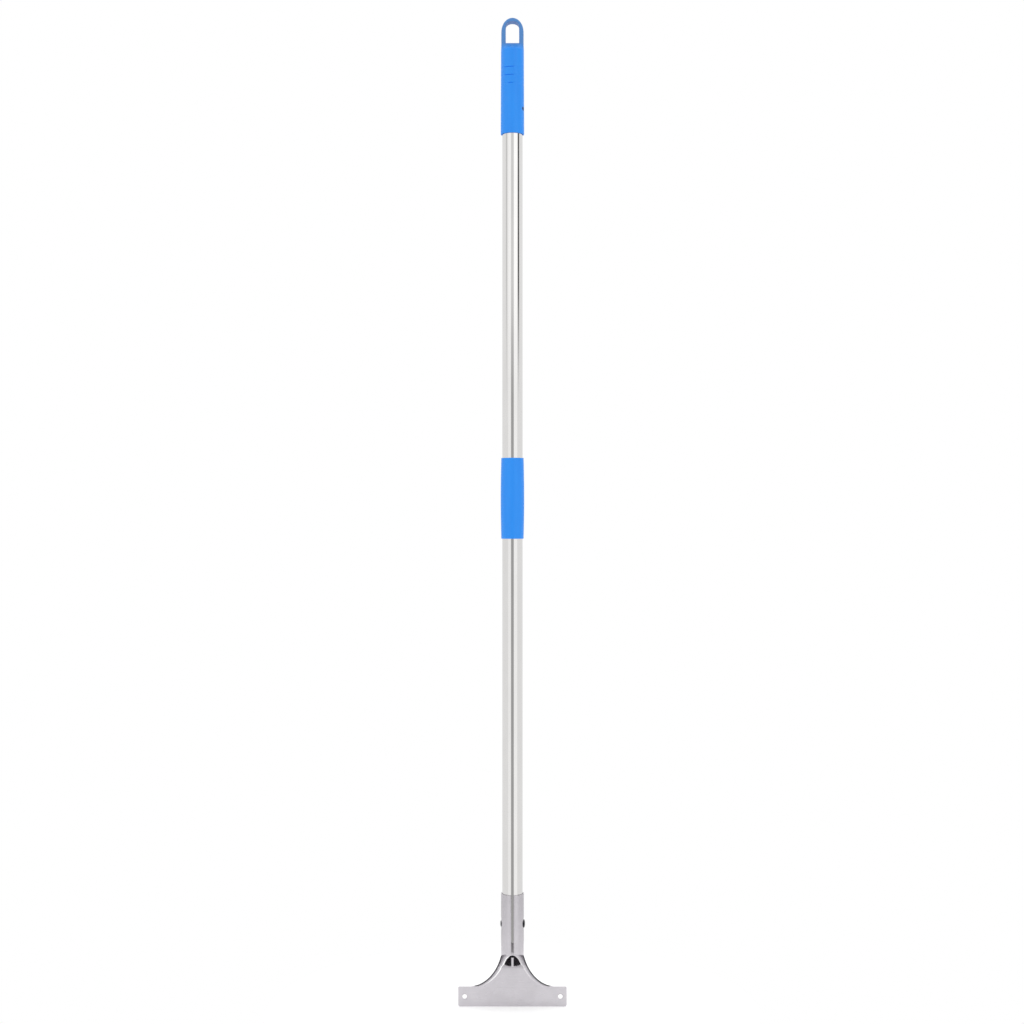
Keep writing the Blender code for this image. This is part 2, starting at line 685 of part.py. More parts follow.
def make_head_rivet(section):
    """Two ends hollowed to sit on the round sleeve, joined by the shank."""
    lift = Matrix.Translation((0, 0, RIVET_HEIGHT))
    bm = rivet_end(RIVET_HEAD_RADIUS, RIVET_HEAD_PROUD)
    bmesh.ops.transform(bm, matrix=lift @ Matrix.Rotation(math.pi / 2, 4, "Y"), verts=bm.verts)
    rivet = piece("head_rivet", bm, "rivet_steel", section)
    tail = rivet_end(RIVET_TAIL_RADIUS, RIVET_TAIL_PROUD)
    bmesh.ops.transform(tail, matrix=lift @ Matrix.Rotation(-math.pi / 2, 4, "Y"), verts=tail.verts)
    half = SLEEVE_OUTSIDE + RIVET_TAIL_PROUD / 2
    shank = rod(RIVET_RADIUS, -half, half, "X", (0, 0, RIVET_HEIGHT))
    seat = rod(
        SLEEVE_OUTSIDE + FIT_GAP, -REACH, REACH, "Z", (0, 0, RIVET_HEIGHT), 2 * ROUND_SEGMENTS
    )
    boolean(rivet, "UNION", guide("rivet_tail", tail))
    boolean(rivet, "DIFFERENCE", guide("rivet_seat", seat))
    boolean(rivet, "UNION", guide("rivet_shank", shank))


def make_tube_plug(section):
    low = RIVET_HEIGHT - PLUG_LENGTH / 2
    high = RIVET_HEIGHT + PLUG_LENGTH / 2
    profile = [(0, high), (INSERT_RADIUS, high), (INSERT_RADIUS, low), (0, low)]
    plug = piece("tube_plug", turned(profile, INNER_SEGMENTS), "grey_nylon", section)
    boolean(plug, "DIFFERENCE", cross_hole("plug_rivet_hole", RIVET_RADIUS, RIVET_HEIGHT))


def main():
    clear_scene()
    upper = section_empty("upper_section", None)
    ring = section_empty("washer_ring", upper)
    lower = section_empty("lower_section", ring)
    make_top_grip(upper)
    make_top_grip_screw(upper)
    make_upper_tube(upper)
    make_thread_spigot(upper)
    make_cross_pin("spigot_pin", SPIGOT_PIN_HEIGHT, upper)
    make_joint_washer(ring)
    make_mid_grip(lower)
    make_thread_socket(lower)
    make_cross_pin("socket_pin", SOCKET_PIN_HEIGHT, lower)
    make_lower_tube(lower)
    make_tube_plug(lower)
    make_head(lower)
    make_head_rivet(lower)


main()
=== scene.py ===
"""The finished look of a two-part handled tool pole, built round its fixed frame."""

import json
import math

import bmesh
import bpy
from bpy.props import FloatProperty, FloatVectorProperty, IntProperty, PointerProperty
from bpy.types import Operator, Panel, PropertyGroup
from mathutils import Matrix, Vector


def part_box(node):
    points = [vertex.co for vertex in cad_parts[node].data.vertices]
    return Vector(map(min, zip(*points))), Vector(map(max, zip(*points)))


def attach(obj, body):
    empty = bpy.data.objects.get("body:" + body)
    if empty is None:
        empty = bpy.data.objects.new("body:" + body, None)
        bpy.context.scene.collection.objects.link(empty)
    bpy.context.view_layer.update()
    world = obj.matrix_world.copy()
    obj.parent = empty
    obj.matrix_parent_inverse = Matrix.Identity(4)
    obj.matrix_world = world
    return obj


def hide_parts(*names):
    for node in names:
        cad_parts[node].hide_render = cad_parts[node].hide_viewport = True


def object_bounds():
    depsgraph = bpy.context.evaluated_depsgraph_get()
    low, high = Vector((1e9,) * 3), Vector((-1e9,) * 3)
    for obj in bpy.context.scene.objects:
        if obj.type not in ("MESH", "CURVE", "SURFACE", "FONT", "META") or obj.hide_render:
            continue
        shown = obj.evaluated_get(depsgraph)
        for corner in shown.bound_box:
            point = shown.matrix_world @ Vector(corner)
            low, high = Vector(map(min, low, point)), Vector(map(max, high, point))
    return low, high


bl_info = {
    "name": "Tool Pole",
    "version": (1, 0, 0),
    "blender": (4, 5, 0),
    "location": "3D View > Sidebar > Pole",
    "description": "Builds the finished pieces of a two-part tool pole and a plain studio",
    "category": "Object",
}

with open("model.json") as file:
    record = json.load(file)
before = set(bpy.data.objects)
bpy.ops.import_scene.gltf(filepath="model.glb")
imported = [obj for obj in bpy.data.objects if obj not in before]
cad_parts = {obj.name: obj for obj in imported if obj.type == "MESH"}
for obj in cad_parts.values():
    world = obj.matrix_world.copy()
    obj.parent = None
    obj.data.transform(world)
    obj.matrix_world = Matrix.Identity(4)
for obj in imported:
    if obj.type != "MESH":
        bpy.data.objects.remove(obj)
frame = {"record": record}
CAD_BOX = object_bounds()

# Places that the frame gives, in metres


def middle_height(node):
    """Height of the middle of a node's box."""
    low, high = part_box(node)
    return (low.z + high.z) / 2


POLE_TOP = CAD_BOX[1].z
HEAD_HALF = CAD_BOX[1].x
UPPER, RING, LOWER = "upper_section", "washer_ring", "lower_section"
TUBE_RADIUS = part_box("upper_tube")[1].x
UPPER_TUBE_FOOT, UPPER_TUBE_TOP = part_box("upper_tube")[0].z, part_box("upper_tube")[1].z
LOWER_TUBE_FOOT, LOWER_TUBE_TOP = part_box("lower_tube")[0].z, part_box("lower_tube")[1].z
TOP_GRIP_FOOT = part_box("top_grip")[0].z
MID_GRIP_FOOT, MID_GRIP_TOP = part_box("mid_grip")[0].z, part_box("mid_grip")[1].z
SLEEVE_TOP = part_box("head")[1].z
MOUNTS = {mount["name"]: mount["pos_m"] for mount in frame["record"]["mounts"]}
PLATE_FRONT, PLATE_BACK = MOUNTS["blade_seat"][1], MOUNTS["blade_back"][1]
RIVET_HEIGHT = middle_height("head_rivet")
RIVET_HEAD_END, RIVET_TAIL_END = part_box("head_rivet")[1].x, -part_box("head_rivet")[0].x
SCREW_HEIGHT = middle_height("top_grip_screw")
SHEET = PLATE_BACK - PLATE_FRONT
PLATE = (PLATE_BACK + PLATE_FRONT) / 2
SPIGOT_PIN_HEIGHT = middle_height("spigot_pin")
SOCKET_PIN_HEIGHT = middle_height("socket_pin")
PIN_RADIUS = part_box("socket_pin")[1].y

# Fixed measures

FIT_GAP = 0.0003
WELD = 1e-5
EPSILON = 1e-6
LONG_FACE = 0.02
SOFT_EDGE = 0.0002


# Sizes and colours that a user would change


def length(name, default, text):
    return FloatProperty(name=name, description=text, default=default, unit="LENGTH", precision=5)


def share_of(name, default, text):
    return FloatProperty(name=name, description=text, default=default, min=0, max=1, subtype="FACTOR")


def colour(name, default, text):
    return FloatVectorProperty(
        name=name, description=text, default=default, size=3, min=0, max=1, subtype="COLOR"
    )


def count(name, default, text):
    return IntProperty(name=name, description=text, default=default, min=1)


class TubeSettings(PropertyGroup):
    wall: length("Wall", 0.0005, "Thickness of the tubes' wall")
    segments: count("Segments", 128, "Faces round each tube")
    polish: share_of("Roughness", 0.04, "Roughness of the polished tubes")
    steel: colour("Steel", (0.80, 0.79, 0.78), "Colour of the polished tubes")


class GripSettings(PropertyGroup):
    blue: colour("Blue", (0.016, 0.294, 1.0), "Colour of both grips")
    sheen: share_of("Roughness", 0.42, "Roughness of the moulded grips")
    foot_wall: length("Foot wall", 0.00155, "Wall of the top grip round its mouth")
    neck_wall: length("Neck wall", 0.0012, "Wall of the top grip under its loop")
    loop_thickness: length("Loop thickness", 0.0138, "Thickness of the hanging loop")
    loop_crown: length("Loop crown", 0.017, "Height of the loop's arched top")
    hole_width: length("Hole width", 0.0164, "Width of the loop's hole")
    hole_height: length("Hole height", 0.0269, "Height of the loop's hole")
    hole_crown: length("Hole crown", 0.006, "Height of the hole's arched top")
    rim: length("Rim", 0.0048, "Height of the loop above its hole")
    groove_depth: length("Groove depth", 0.00022, "Depth of the three ring grooves")
    groove_pitch: length("Groove pitch", 0.0098, "Distance from groove to groove")
    groove_rise: length("Groove rise", 0.0608, "Height of the lowest groove above the mouth")
    barrel_end_wall: length("Barrel end wall", 0.0009, "Wall of the middle grip at its ends")
    barrel_wall: length("Barrel wall", 0.0016, "Wall of the middle grip at its middle")


class HeadSettings(PropertyGroup):
    satin: colour("Satin steel", (0.575, 0.553, 0.583), "Colour of the pressed head")
    roughness: share_of("Roughness", 0.3, "Roughness of the pressed head")
    sleeve_foot: length("Sleeve foot", 0.064, "Height of the sleeve's foot at its sides")
    rim_slope: share_of("Rim slope", 0.35, "How much the sleeve's foot rises towards the seam")
    seam: length("Seam", 0.0028, "Width of the open seam")
    ramp_top: length("Ramp top", 0.0605, "Height where the channel's floor starts forward")
    ramp_foot: length("Ramp foot", 0.0475, "Height where the ramp meets the plate")
    band: length("Band height", 0.0242, "Height of the straight band")
    shoulder: length("Shoulder", 0.0156, "Length of each arm beyond the fan")
    lip: length("Lip height", 0.0065, "Height of the turned-up edge")
    edge_bend: length("Edge bend", 0.0052, "Width of the bend along the fan's edge")
    foot_bend: length("Foot bend", 0.002, "Width of the bend at the fan's foot")
    hole_inset: length("Hole inset", 0.0078, "Distance of the blade holes from the ends")
    hole_radius: length("Hole radius", 0.0028, "Radius of the blade holes")
    sink_radius: length("Countersink radius", 0.004, "Radius of the holes' countersinks")


class ThreadSettings(PropertyGroup):
    pitch: length("Pitch", 0.004, "Rise of the thread in one turn")
    turns: count("Turns", 5, "Turns of the thread")
    stud: length("Stud radius", 0.0075, "Radius of the stud under its thread")
    depth: length("Thread depth", 0.0015, "Height of the thread above the stud")
    crest: length("Crest", 0.0011, "Width of the thread's crest")
    gap: length("Thread gap", 0.0004, "Clearance beside the thread")
    bore: length("Stud bore", 0.0045, "Radius of the hole through the stud")
    foot_bore: length("Socket foot bore", 0.006, "Radius of the hole in the socket's foot")
    flange: length("Flange", 0.0015, "Thickness of the flanges that stop the tubes")


class StageSettings(PropertyGroup):
    eye: length("Eye height", 0.6072, "Height of the camera")
    distance: length("Distance", 2.0, "Distance of the camera from the pole")
    lens: FloatProperty(name="Lens", description="Focal length in millimetres", default=57.4)
    floor: colour("Floor", (0.93, 0.93, 0.93), "Colour of the floor")


# Meshes


def smoothstep(value):
    value = min(max(value, 0), 1)
    return value * value * (3 - 2 * value)


def blend(start, end, share):
    return start + (end - start) * min(max(share, 0), 1)


def round_off(points, radius, steps=4):
    """The points of an open outline with each inner corner turned into a short curve."""
    outline = [Vector(points[0])]
    for before, corner, after in zip(points, points[1:], points[2:]):
        before, corner, after = Vector(before), Vector(corner), Vector(after)
        reach = min(radius, (before - corner).length / 2.5, (after - corner).length / 2.5)
        start = corner + (before - corner).normalized() * reach
        end = corner + (after - corner).normalized() * reach
        for step in range(steps + 1):
            t = step / steps
            outline.append((1 - t) ** 2 * start + 2 * t * (1 - t) * corner + t * t * end)
    return outline + [Vector(points[-1])]


def arc(centre, radii, start, end, steps):
    """Points along an elliptic arc, with its angles in degrees."""
    angles = [math.radians(start + (end - start) * step / steps) for step in range(steps + 1)]
    return [
        (centre[0] + radii[0] * math.cos(angle), centre[1] + radii[1] * math.sin(angle))
        for angle in angles
    ]


def long_run(start, end, steps):
    """Evenly spaced points from start to end, so that a long face is cut into short ones."""
    return [Vector(start).lerp(Vector(end), step / steps) for step in range(steps + 1)]


def turned(profile, segments):
    """A closed solid of revolution round Z from (radius, height) points."""
    bm = bmesh.new()
    points = [bm.verts.new((radius, 0, height)) for radius, height in profile]
    for first, second in zip(points, points[1:]):
        bm.edges.new((first, second))
    if profile[0][0] > EPSILON:
        bm.edges.new((points[-1], points[0]))
    bmesh.ops.spin(
        bm,
        geom=bm.verts[:] + bm.edges[:],
        cent=(0, 0, 0),
        axis=(0, 0, 1),
        angle=math.tau,
        steps=segments,
        use_merge=True,
    )
    bmesh.ops.remove_doubles(bm, verts=bm.verts, dist=EPSILON)
    bmesh.ops.recalc_face_normals(bm, faces=bm.faces)
    return bm


def pipe(inner, outer, low, high, segments, rim=0.00012):
    """A tube with rounded rims, its long walls cut into short stretches."""
    steps = max(int((high - low) / LONG_FACE), 1)
    corners = [(inner, low + rim), (inner, low), (outer, low), (outer, low + rim)]
    foot = round_off(corners, rim)
    corners = [(outer, high - rim), (outer, high), (inner, high), (inner, high - rim)]
    head = round_off(corners, rim)
    outside = long_run((outer, low + 2 * rim), (outer, high - 2 * rim), steps)
    inside = long_run((inner, high - 2 * rim), (inner, low + 2 * rim), steps)
    return turned(foot + outside + head + inside, segments)


def rod(radius, start, end, axis, centre, segments=48):
    """A round rod from start to end along X, Y or Z through the centre."""
    bm = bmesh.new()
    turn = {"X": Matrix.Rotation(math.pi / 2, 4, "Y"), "Y": Matrix.Rotation(math.pi / 2, 4, "X")}
    step = {"X": Vector((1, 0, 0)), "Y": Vector((0, 1, 0)), "Z": Vector((0, 0, 1))}[axis]
    place = Matrix.Translation(Vector(centre) + step * (start + end) / 2)
    bmesh.ops.create_cone(
        bm,
        cap_ends=True,
        segments=segments,
        radius1=radius,
        radius2=radius,
        depth=abs(end - start),
        matrix=place @ turn.get(axis, Matrix.Identity(4)),
    )
    return bm


def box_at(centre, size):
    bm = bmesh.new()
    place = Matrix.Translation(centre) @ Matrix.Diagonal((*size, 1))
    bmesh.ops.create_cube(bm, size=1, matrix=place)
    return bm


def soften(bm, width, angle=40, segments=2):
    """Rounds every edge that turns more sharply than the angle, in degrees."""
    limit = math.radians(angle)
    sharp = [edge for edge in bm.edges if edge.is_manifold and edge.calc_face_angle() > limit]
    bmesh.ops.bevel(
        bm,
        geom=sharp,
        offset=width,
        segments=segments,
        profile=0.5,
        affect="EDGES",
        material=-1,
        clamp_overlap=True,
    )
    return bm


def patch(bm, half_columns, rows, place):
    """Adds a grid whose points are placed by a rule of column and share of the height."""
    made = bmesh.ops.create_grid(bm, x_segments=2 * half_columns, y_segments=rows, size=1)
    for vert in made["verts"]:
        column = round(vert.co.x * half_columns)
        vert.co = place(column, (vert.co.y + 1) / 2)
    return made["verts"]


def new_object(name, bm):
    mesh = bpy.data.meshes.new(name)
    bm.to_mesh(mesh)
    bm.free()
    mesh.shade_smooth()
    made = bpy.data.objects.new(name, mesh)
    bpy.context.scene.collection.objects.link(made)
    return made


def combine(target, operation, shape):
    """Cuts a closed shape from a piece or unites them, and keeps the result as its mesh."""
    tool = new_object("tool", shape)
    modifier = target.modifiers.new("combine", "BOOLEAN")
    modifier.operation = operation
    modifier.solver = "EXACT"
    modifier.object = tool
    settle(target)
    bpy.data.objects.remove(tool)


def cut(target, *shapes):
    for shape in shapes:
        combine(target, "DIFFERENCE", shape)


def settle(target):
    """Turns a piece's modifiers into its plain mesh."""
    graph = bpy.context.evaluated_depsgraph_get()
    mesh = bpy.data.meshes.new_from_object(target.evaluated_get(graph))
    target.modifiers.clear()
    target.data = mesh


def finish_piece(target, body, slot, materials, *nodes):
    """Gives a piece its finishes, hides the plain nodes it stands for and lets it ride."""
    target.data.materials.clear()
    for material in materials:
        target.data.materials.append(material)
    weighted = target.modifiers.new("flat_faces_stay_flat", "WEIGHTED_NORMAL")
    weighted.keep_sharp = True
    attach(target, body)
    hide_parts(*nodes)
    return target


# Finishes

NOISE_LOW, NOISE_HIGH = 0.3, 0.7
WORN_BLUE = (0.10, 0.36, 0.95, 1.0)
# Painted shade: the blue darkens over the hanging loop, fading in between these two heights.
LOOP_SHADE_BLUE = (0.085, 0.255, 0.60, 1.0)
LOOP_SHADE_FOOT, LOOP_SHADE_TOP = POLE_TOP - 0.040, POLE_TOP - 0.031
FLANK_SHADE = (0.07, 0.07, 0.075, 1.0)
# Painted highlight along the fan's crease.
CREASE_PAINTED_HIGHLIGHT = (0.98, 0.98, 0.98, 1.0)
# Painted shade: the darker and paler tones of the sleeve's inside.
SLEEVE_SHADE_DARK, SLEEVE_SHADE_PALE = (0.30, 0.285, 0.30, 1.0), (0.40, 0.385, 0.40, 1.0)
# Painted light and shade: fasteners are paler towards -X and near-black towards +X.
FASTENER_LIT_SIDE, FASTENER_SHADED_SIDE = (0.30, 0.30, 0.31, 1.0), (0.045, 0.045, 0.05, 1.0)
RUBBED_RIM = (0.5, 0.5, 0.5, 1.0)
NYLON_DARK, NYLON_PALE = (0.045, 0.05, 0.055, 1.0), (0.075, 0.08, 0.088, 1.0)
RUBBER_BLACK, RUBBER_DUST = (0.012, 0.012, 0.012, 1.0), (0.05, 0.05, 0.048, 1.0)


class Finish:
    """A material with one Principled shader, and short ways to add its patterns."""

    def __init__(self, name, **sockets):
        self.material = bpy.data.materials.new(name)
        self.material.use_nodes = True
        self.nodes = self.material.node_tree.nodes
        self.links = self.material.node_tree.links
        self.shader = self.nodes["Principled BSDF"]
        self.place = self.nodes.new("ShaderNodeTexCoord").outputs["Object"]
        for socket, value in sockets.items():
            self.shader.inputs[socket.replace("_", " ")].default_value = value

    def feed(self, node, socket, value):
        if isinstance(value, bpy.types.NodeSocket):
            self.links.new(value, node.inputs[socket])
        else:
            node.inputs[socket].default_value = value

    def stretched(self, scale):
        """Object coordinates drawn out, so that a pattern runs along the piece."""
        node = self.nodes.new("ShaderNodeMapping")
        node.vector_type = "POINT"
        self.links.new(self.place, node.inputs["Vector"])
        node.inputs["Scale"].default_value = scale
        return node.outputs["Vector"]

    def noise(self, scale, detail=4.0, rough=0.55, along=None):
        node = self.nodes.new("ShaderNodeTexNoise")
        self.links.new(along or self.place, node.inputs["Vector"])
        node.inputs["Scale"].default_value = scale
        node.inputs["Detail"].default_value = detail
        node.inputs["Roughness"].default_value = rough
        return node.outputs["Fac"]

    def remap(self, value, low, high, to_low, to_high):
        node = self.nodes.new("ShaderNodeMapRange")
        for socket, number in zip(
            ("Value", "From Min", "From Max", "To Min", "To Max"), (value, low, high, to_low, to_high)
        ):
            self.feed(node, socket, number)
        return node.outputs["Result"]

    def spread(self, pattern, low, high):
        """The usual range of a noise, spread from low to high."""
        return self.remap(pattern, NOISE_LOW, NOISE_HIGH, low, high)

    def mottled(self, pattern, first, second):
        return self.mix(self.spread(pattern, 0, 1), first, second)

    def math(self, operation, first, second=0.0):
        node = self.nodes.new("ShaderNodeMath")
        node.operation = operation
        self.feed(node, 0, first)
        self.feed(node, 1, second)
        return node.outputs[0]

    def mix(self, share, first, second):
        node = self.nodes.new("ShaderNodeMix")
        node.data_type = "RGBA"
        self.feed(node, 0, share)
        self.feed(node, 6, first)
        self.feed(node, 7, second)
        return node.outputs[2]

    def axis(self, name):
        node = self.nodes.new("ShaderNodeSeparateXYZ")
        self.links.new(self.place, node.inputs[0])
        return node.outputs[name]

    def attribute(self, name):
        node = self.nodes.new("ShaderNodeAttribute")
        node.attribute_type = "GEOMETRY"
        node.attribute_name = name
        return node.outputs["Fac"]

    def bump(self, height, distance, strength=1.0, under=None):
        node = self.nodes.new("ShaderNodeBump")
        node.inputs["Strength"].default_value = strength
        node.inputs["Distance"].default_value = distance
        self.links.new(height, node.inputs["Height"])
        if under is not None:
            self.links.new(under, node.inputs["Normal"])
        self.links.new(node.outputs["Normal"], self.shader.inputs["Normal"])
        return node.outputs["Normal"]

    def set(self, socket, value):
        self.feed(self.shader, socket, value)


def shade(base, factor):
    """A colour made lighter or darker, as four numbers."""
    return tuple(min(max(channel * factor, 0), 1) for channel in base) + (1.0,)


def blue_plastic(settings):
    """Moulded plastic: fine grain, faint flow marks, rubbed patches and the loop painted darker as
    shade.
    """
    finish = Finish("blue_plastic", Specular_IOR_Level=0.5, IOR=1.46)
    flow = finish.noise(1.0, 5, 0.6, finish.stretched((90, 90, 14)))
    grain = finish.noise(2600, 2, 0.5)
    rubbed = finish.noise(70, 6, 0.65)
    base = finish.mottled(flow, shade(settings.blue, 0.95), shade(settings.blue, 1.05))
    worn = finish.remap(rubbed, 0.62, 0.8, 0, 0.16)
    base = finish.mix(worn, base, WORN_BLUE)
    # Painted shade: the loop is painted darker by its height.
    loop = finish.remap(finish.axis("Z"), LOOP_SHADE_FOOT, LOOP_SHADE_TOP, 0, 1)
    finish.set("Base Color", finish.mix(loop, base, LOOP_SHADE_BLUE))
    low, high = settings.sheen - 0.05, settings.sheen + 0.07
    rough = finish.remap(rubbed, 0.3, 0.75, high, low)
    finish.set("Roughness", rough)
    soft = finish.bump(flow, 0.00012, 0.25)
    finish.bump(grain, 0.00004, 0.3, soft)
    return finish.material


def polished_steel(settings):
    """Polished tube: hair-fine draw lines along the tube, faint smears and rare dull spots."""
    finish = Finish("polished_steel", Metallic=1.0, IOR=2.5)
    drawn = finish.noise(1.0, 4, 0.6, finish.stretched((2400, 2400, 18)))
    smear = finish.noise(1.0, 5, 0.6, finish.stretched((60, 60, 22)))
    spots = finish.noise(420, 2, 0.4)
    base = finish.mottled(smear, shade(settings.steel, 0.975), shade(settings.steel, 1.02))
    finish.set("Base Color", base)
    polish = finish.remap(smear, 0.35, 0.75, settings.polish, settings.polish + 0.06)
    dull = finish.remap(spots, 0.74, 0.8, 0, 0.12)
    finish.set("Roughness", finish.math("ADD", polish, dull))
    finish.bump(drawn, 0.000004, 0.25)
    return finish.material


def satin_steel(settings):
    """Pressed sheet: cross-brushed grain, rolling bands, a burnished ramp, the lip's outside painted
    dark as shade and the crease painted pale as a highlight.
    """
    finish = Finish("satin_steel", Metallic=1.0, IOR=2.5)
    brushed = finish.noise(1.0, 5, 0.65, finish.stretched((60, 900, 2600)))
    clouds = finish.noise(55, 4, 0.55)
    scratch = finish.noise(1.0, 2, 0.5, finish.stretched((90, 700, 1500)))
    burnish = finish.attribute("burnish")
    flank = finish.attribute("flank")
    base = finish.mottled(clouds, shade(settings.satin, 0.96), shade(settings.satin, 1.04))
    scored = finish.remap(scratch, 0.70, 0.78, 0, 0.2)
    base = finish.mix(scored, base, shade(settings.satin, 0.7))
    # Painted shade: the outside of the turned-up lip is darkened.
    base = finish.mix(flank, base, FLANK_SHADE)
    # Painted highlight: the crease is painted pale.
    finish.set("Base Color", finish.mix(finish.attribute("crease"), base, CREASE_PAINTED_HIGHLIGHT))
    grain = finish.spread(brushed, settings.roughness - 0.05, settings.roughness + 0.06)
    left = finish.remap(burnish, 0, 1, 1, 0.1)
    finish.set("Roughness", finish.math("MULTIPLY", grain, left))
    finish.bump(finish.math("MULTIPLY", brushed, left), 0.000012, 0.2)
    return finish.material


def sleeve_inside_shade():
    """The inside of the sleeve, painted dark as shade, with blotches and a rough finish."""
    finish = Finish("sleeve_inside_shade", Metallic=0.8, IOR=2.0)
    blotch = finish.noise(160, 5, 0.6)
    grit = finish.noise(3000, 2, 0.5)
    # Painted shade: the inside of the sleeve is darkened.
    finish.set("Base Color", finish.mottled(blotch, SLEEVE_SHADE_DARK, SLEEVE_SHADE_PALE))
    finish.set("Roughness", finish.spread(blotch, 0.45, 0.65))
    finish.bump(grit, 0.00003, 0.4)
    return finish.material


def fastener_steel():
    """Plated fasteners: turning marks, rubbed rims, and painted shade: near-black towards +X, the head
    side, and paler towards -X.
    """
    finish = Finish("fastener_steel", Metallic=1.0, IOR=2.5)
    marks = finish.noise(900, 4, 0.6)
    blotch = finish.noise(300, 4, 0.6)
    # Painted shade: every fastener darkens towards +X and is paler towards -X.
    side = finish.remap(finish.axis("X"), -0.004, 0.004, 0, 1)
    base = finish.mix(side, FASTENER_LIT_SIDE, FASTENER_SHADED_SIDE)
    rubbed = finish.remap(blotch, 0.6, 0.75, 0, 0.25)
    finish.set("Base Color", finish.mix(rubbed, base, RUBBED_RIM))
    finish.set("Roughness", finish.spread(marks, 0.28, 0.42))
    finish.bump(marks, 0.00002, 0.3)
    return finish.material


def grey_nylon():
    """Moulded nylon: matt grain, a slightly glossier crest where threads rub."""
    finish = Finish("grey_nylon", IOR=1.5)
    grain = finish.noise(2200, 3, 0.6)
    cloud = finish.noise(120, 4, 0.6)
    finish.set("Base Color", finish.mottled(cloud, NYLON_DARK, NYLON_PALE))
    finish.set("Roughness", finish.spread(cloud, 0.38, 0.55))
    finish.bump(grain, 0.00003, 0.35)
    return finish.material


def black_rubber():
    """Soft rubber: dusty mottling and a fine open grain."""
    finish = Finish("black_rubber", IOR=1.5, Specular_IOR_Level=0.3)
    grain = finish.noise(3500, 3, 0.6)
    dust = finish.noise(260, 5, 0.65)
    dusty = finish.remap(dust, 0.45, 0.75, 0, 1)
    finish.set("Base Color", finish.mix(dusty, RUBBER_BLACK, RUBBER_DUST))
    finish.set("Roughness", finish.spread(dust, 0.6, 0.8))
    finish.bump(grain, 0.00004, 0.5)
    return finish.material


def finish_named(name, make, *settings):
    """The material of this name, made the first time that it is asked for."""
    return bpy.data.materials.get(name) or make(*settings)


# Tubes


class POLE_OT_tubes(Operator):
    """Make both polished tubes with rounded rims"""

    bl_idname = "pole.tubes"
    bl_label = "Tubes"

    def execute(self, context):
        settings = context.scene.pole_tubes
        steel = finish_named("polished_steel", polished_steel, settings)
        bore = TUBE_RADIUS - settings.wall
        for node, body, low, high in (
            ("upper_tube", UPPER, UPPER_TUBE_FOOT, UPPER_TUBE_TOP),
            ("lower_tube", LOWER, LOWER_TUBE_FOOT, LOWER_TUBE_TOP),
        ):
            tube = pipe(bore, TUBE_RADIUS, low, high, settings.segments)
            finish_piece(new_object(node + "_polished", tube), body, "polished_tube", [steel], node)
        return {"FINISHED"}


# Top grip

GRIP_BORE = TUBE_RADIUS + FIT_GAP
HALF_STEPS = 16
STEP_ANGLE = math.pi / HALF_STEPS
ROUND_SHRINK = (4 + 2 * math.cos(STEP_ANGLE)) / 6
SIDE_COLUMN = 3
GRIP_SUBDIVISION = 2
SHOULDER_DROP, SHOULDER_HEIGHT = 0.0012, 0.007
MOUTH_STRAIGHT, BODY_FACE = 0.006, 0.008
HOLE_EDGE = 0.0009
LOOP_CORNER = 0.0007
LOOP_FRONT_ROUNDING, LOOP_SIDE_ROUNDING = 0.0024, 0.0032
GROOVE_HALF, GROOVE_ROOM, GROOVE_PULL = 0.0012, 0.0015, 1.4
SCREW_BEARING = math.radians(67)
SCREW_LENGTH = 0.009
SCREW_NECK_RADIUS, SCREW_HEAD_RADIUS = 0.0011, 0.0022
SCREW_BRIM, SCREW_SINK = 0.0002, 0.0013
SCREW_SLOTS = ((0.0005, 0.0026, 0.0016), (0.0026, 0.0005, 0.0016))
MARK_DEPTH = 0.0008
MARK_FLOOR, MARK_HALF_WIDTH = 0.0002, 0.0004
MARK_END = 0.001
MARK_SPANS = ((-0.0052, 0.001), (-0.0102, 0.0022), (-0.0102, 0.0022))


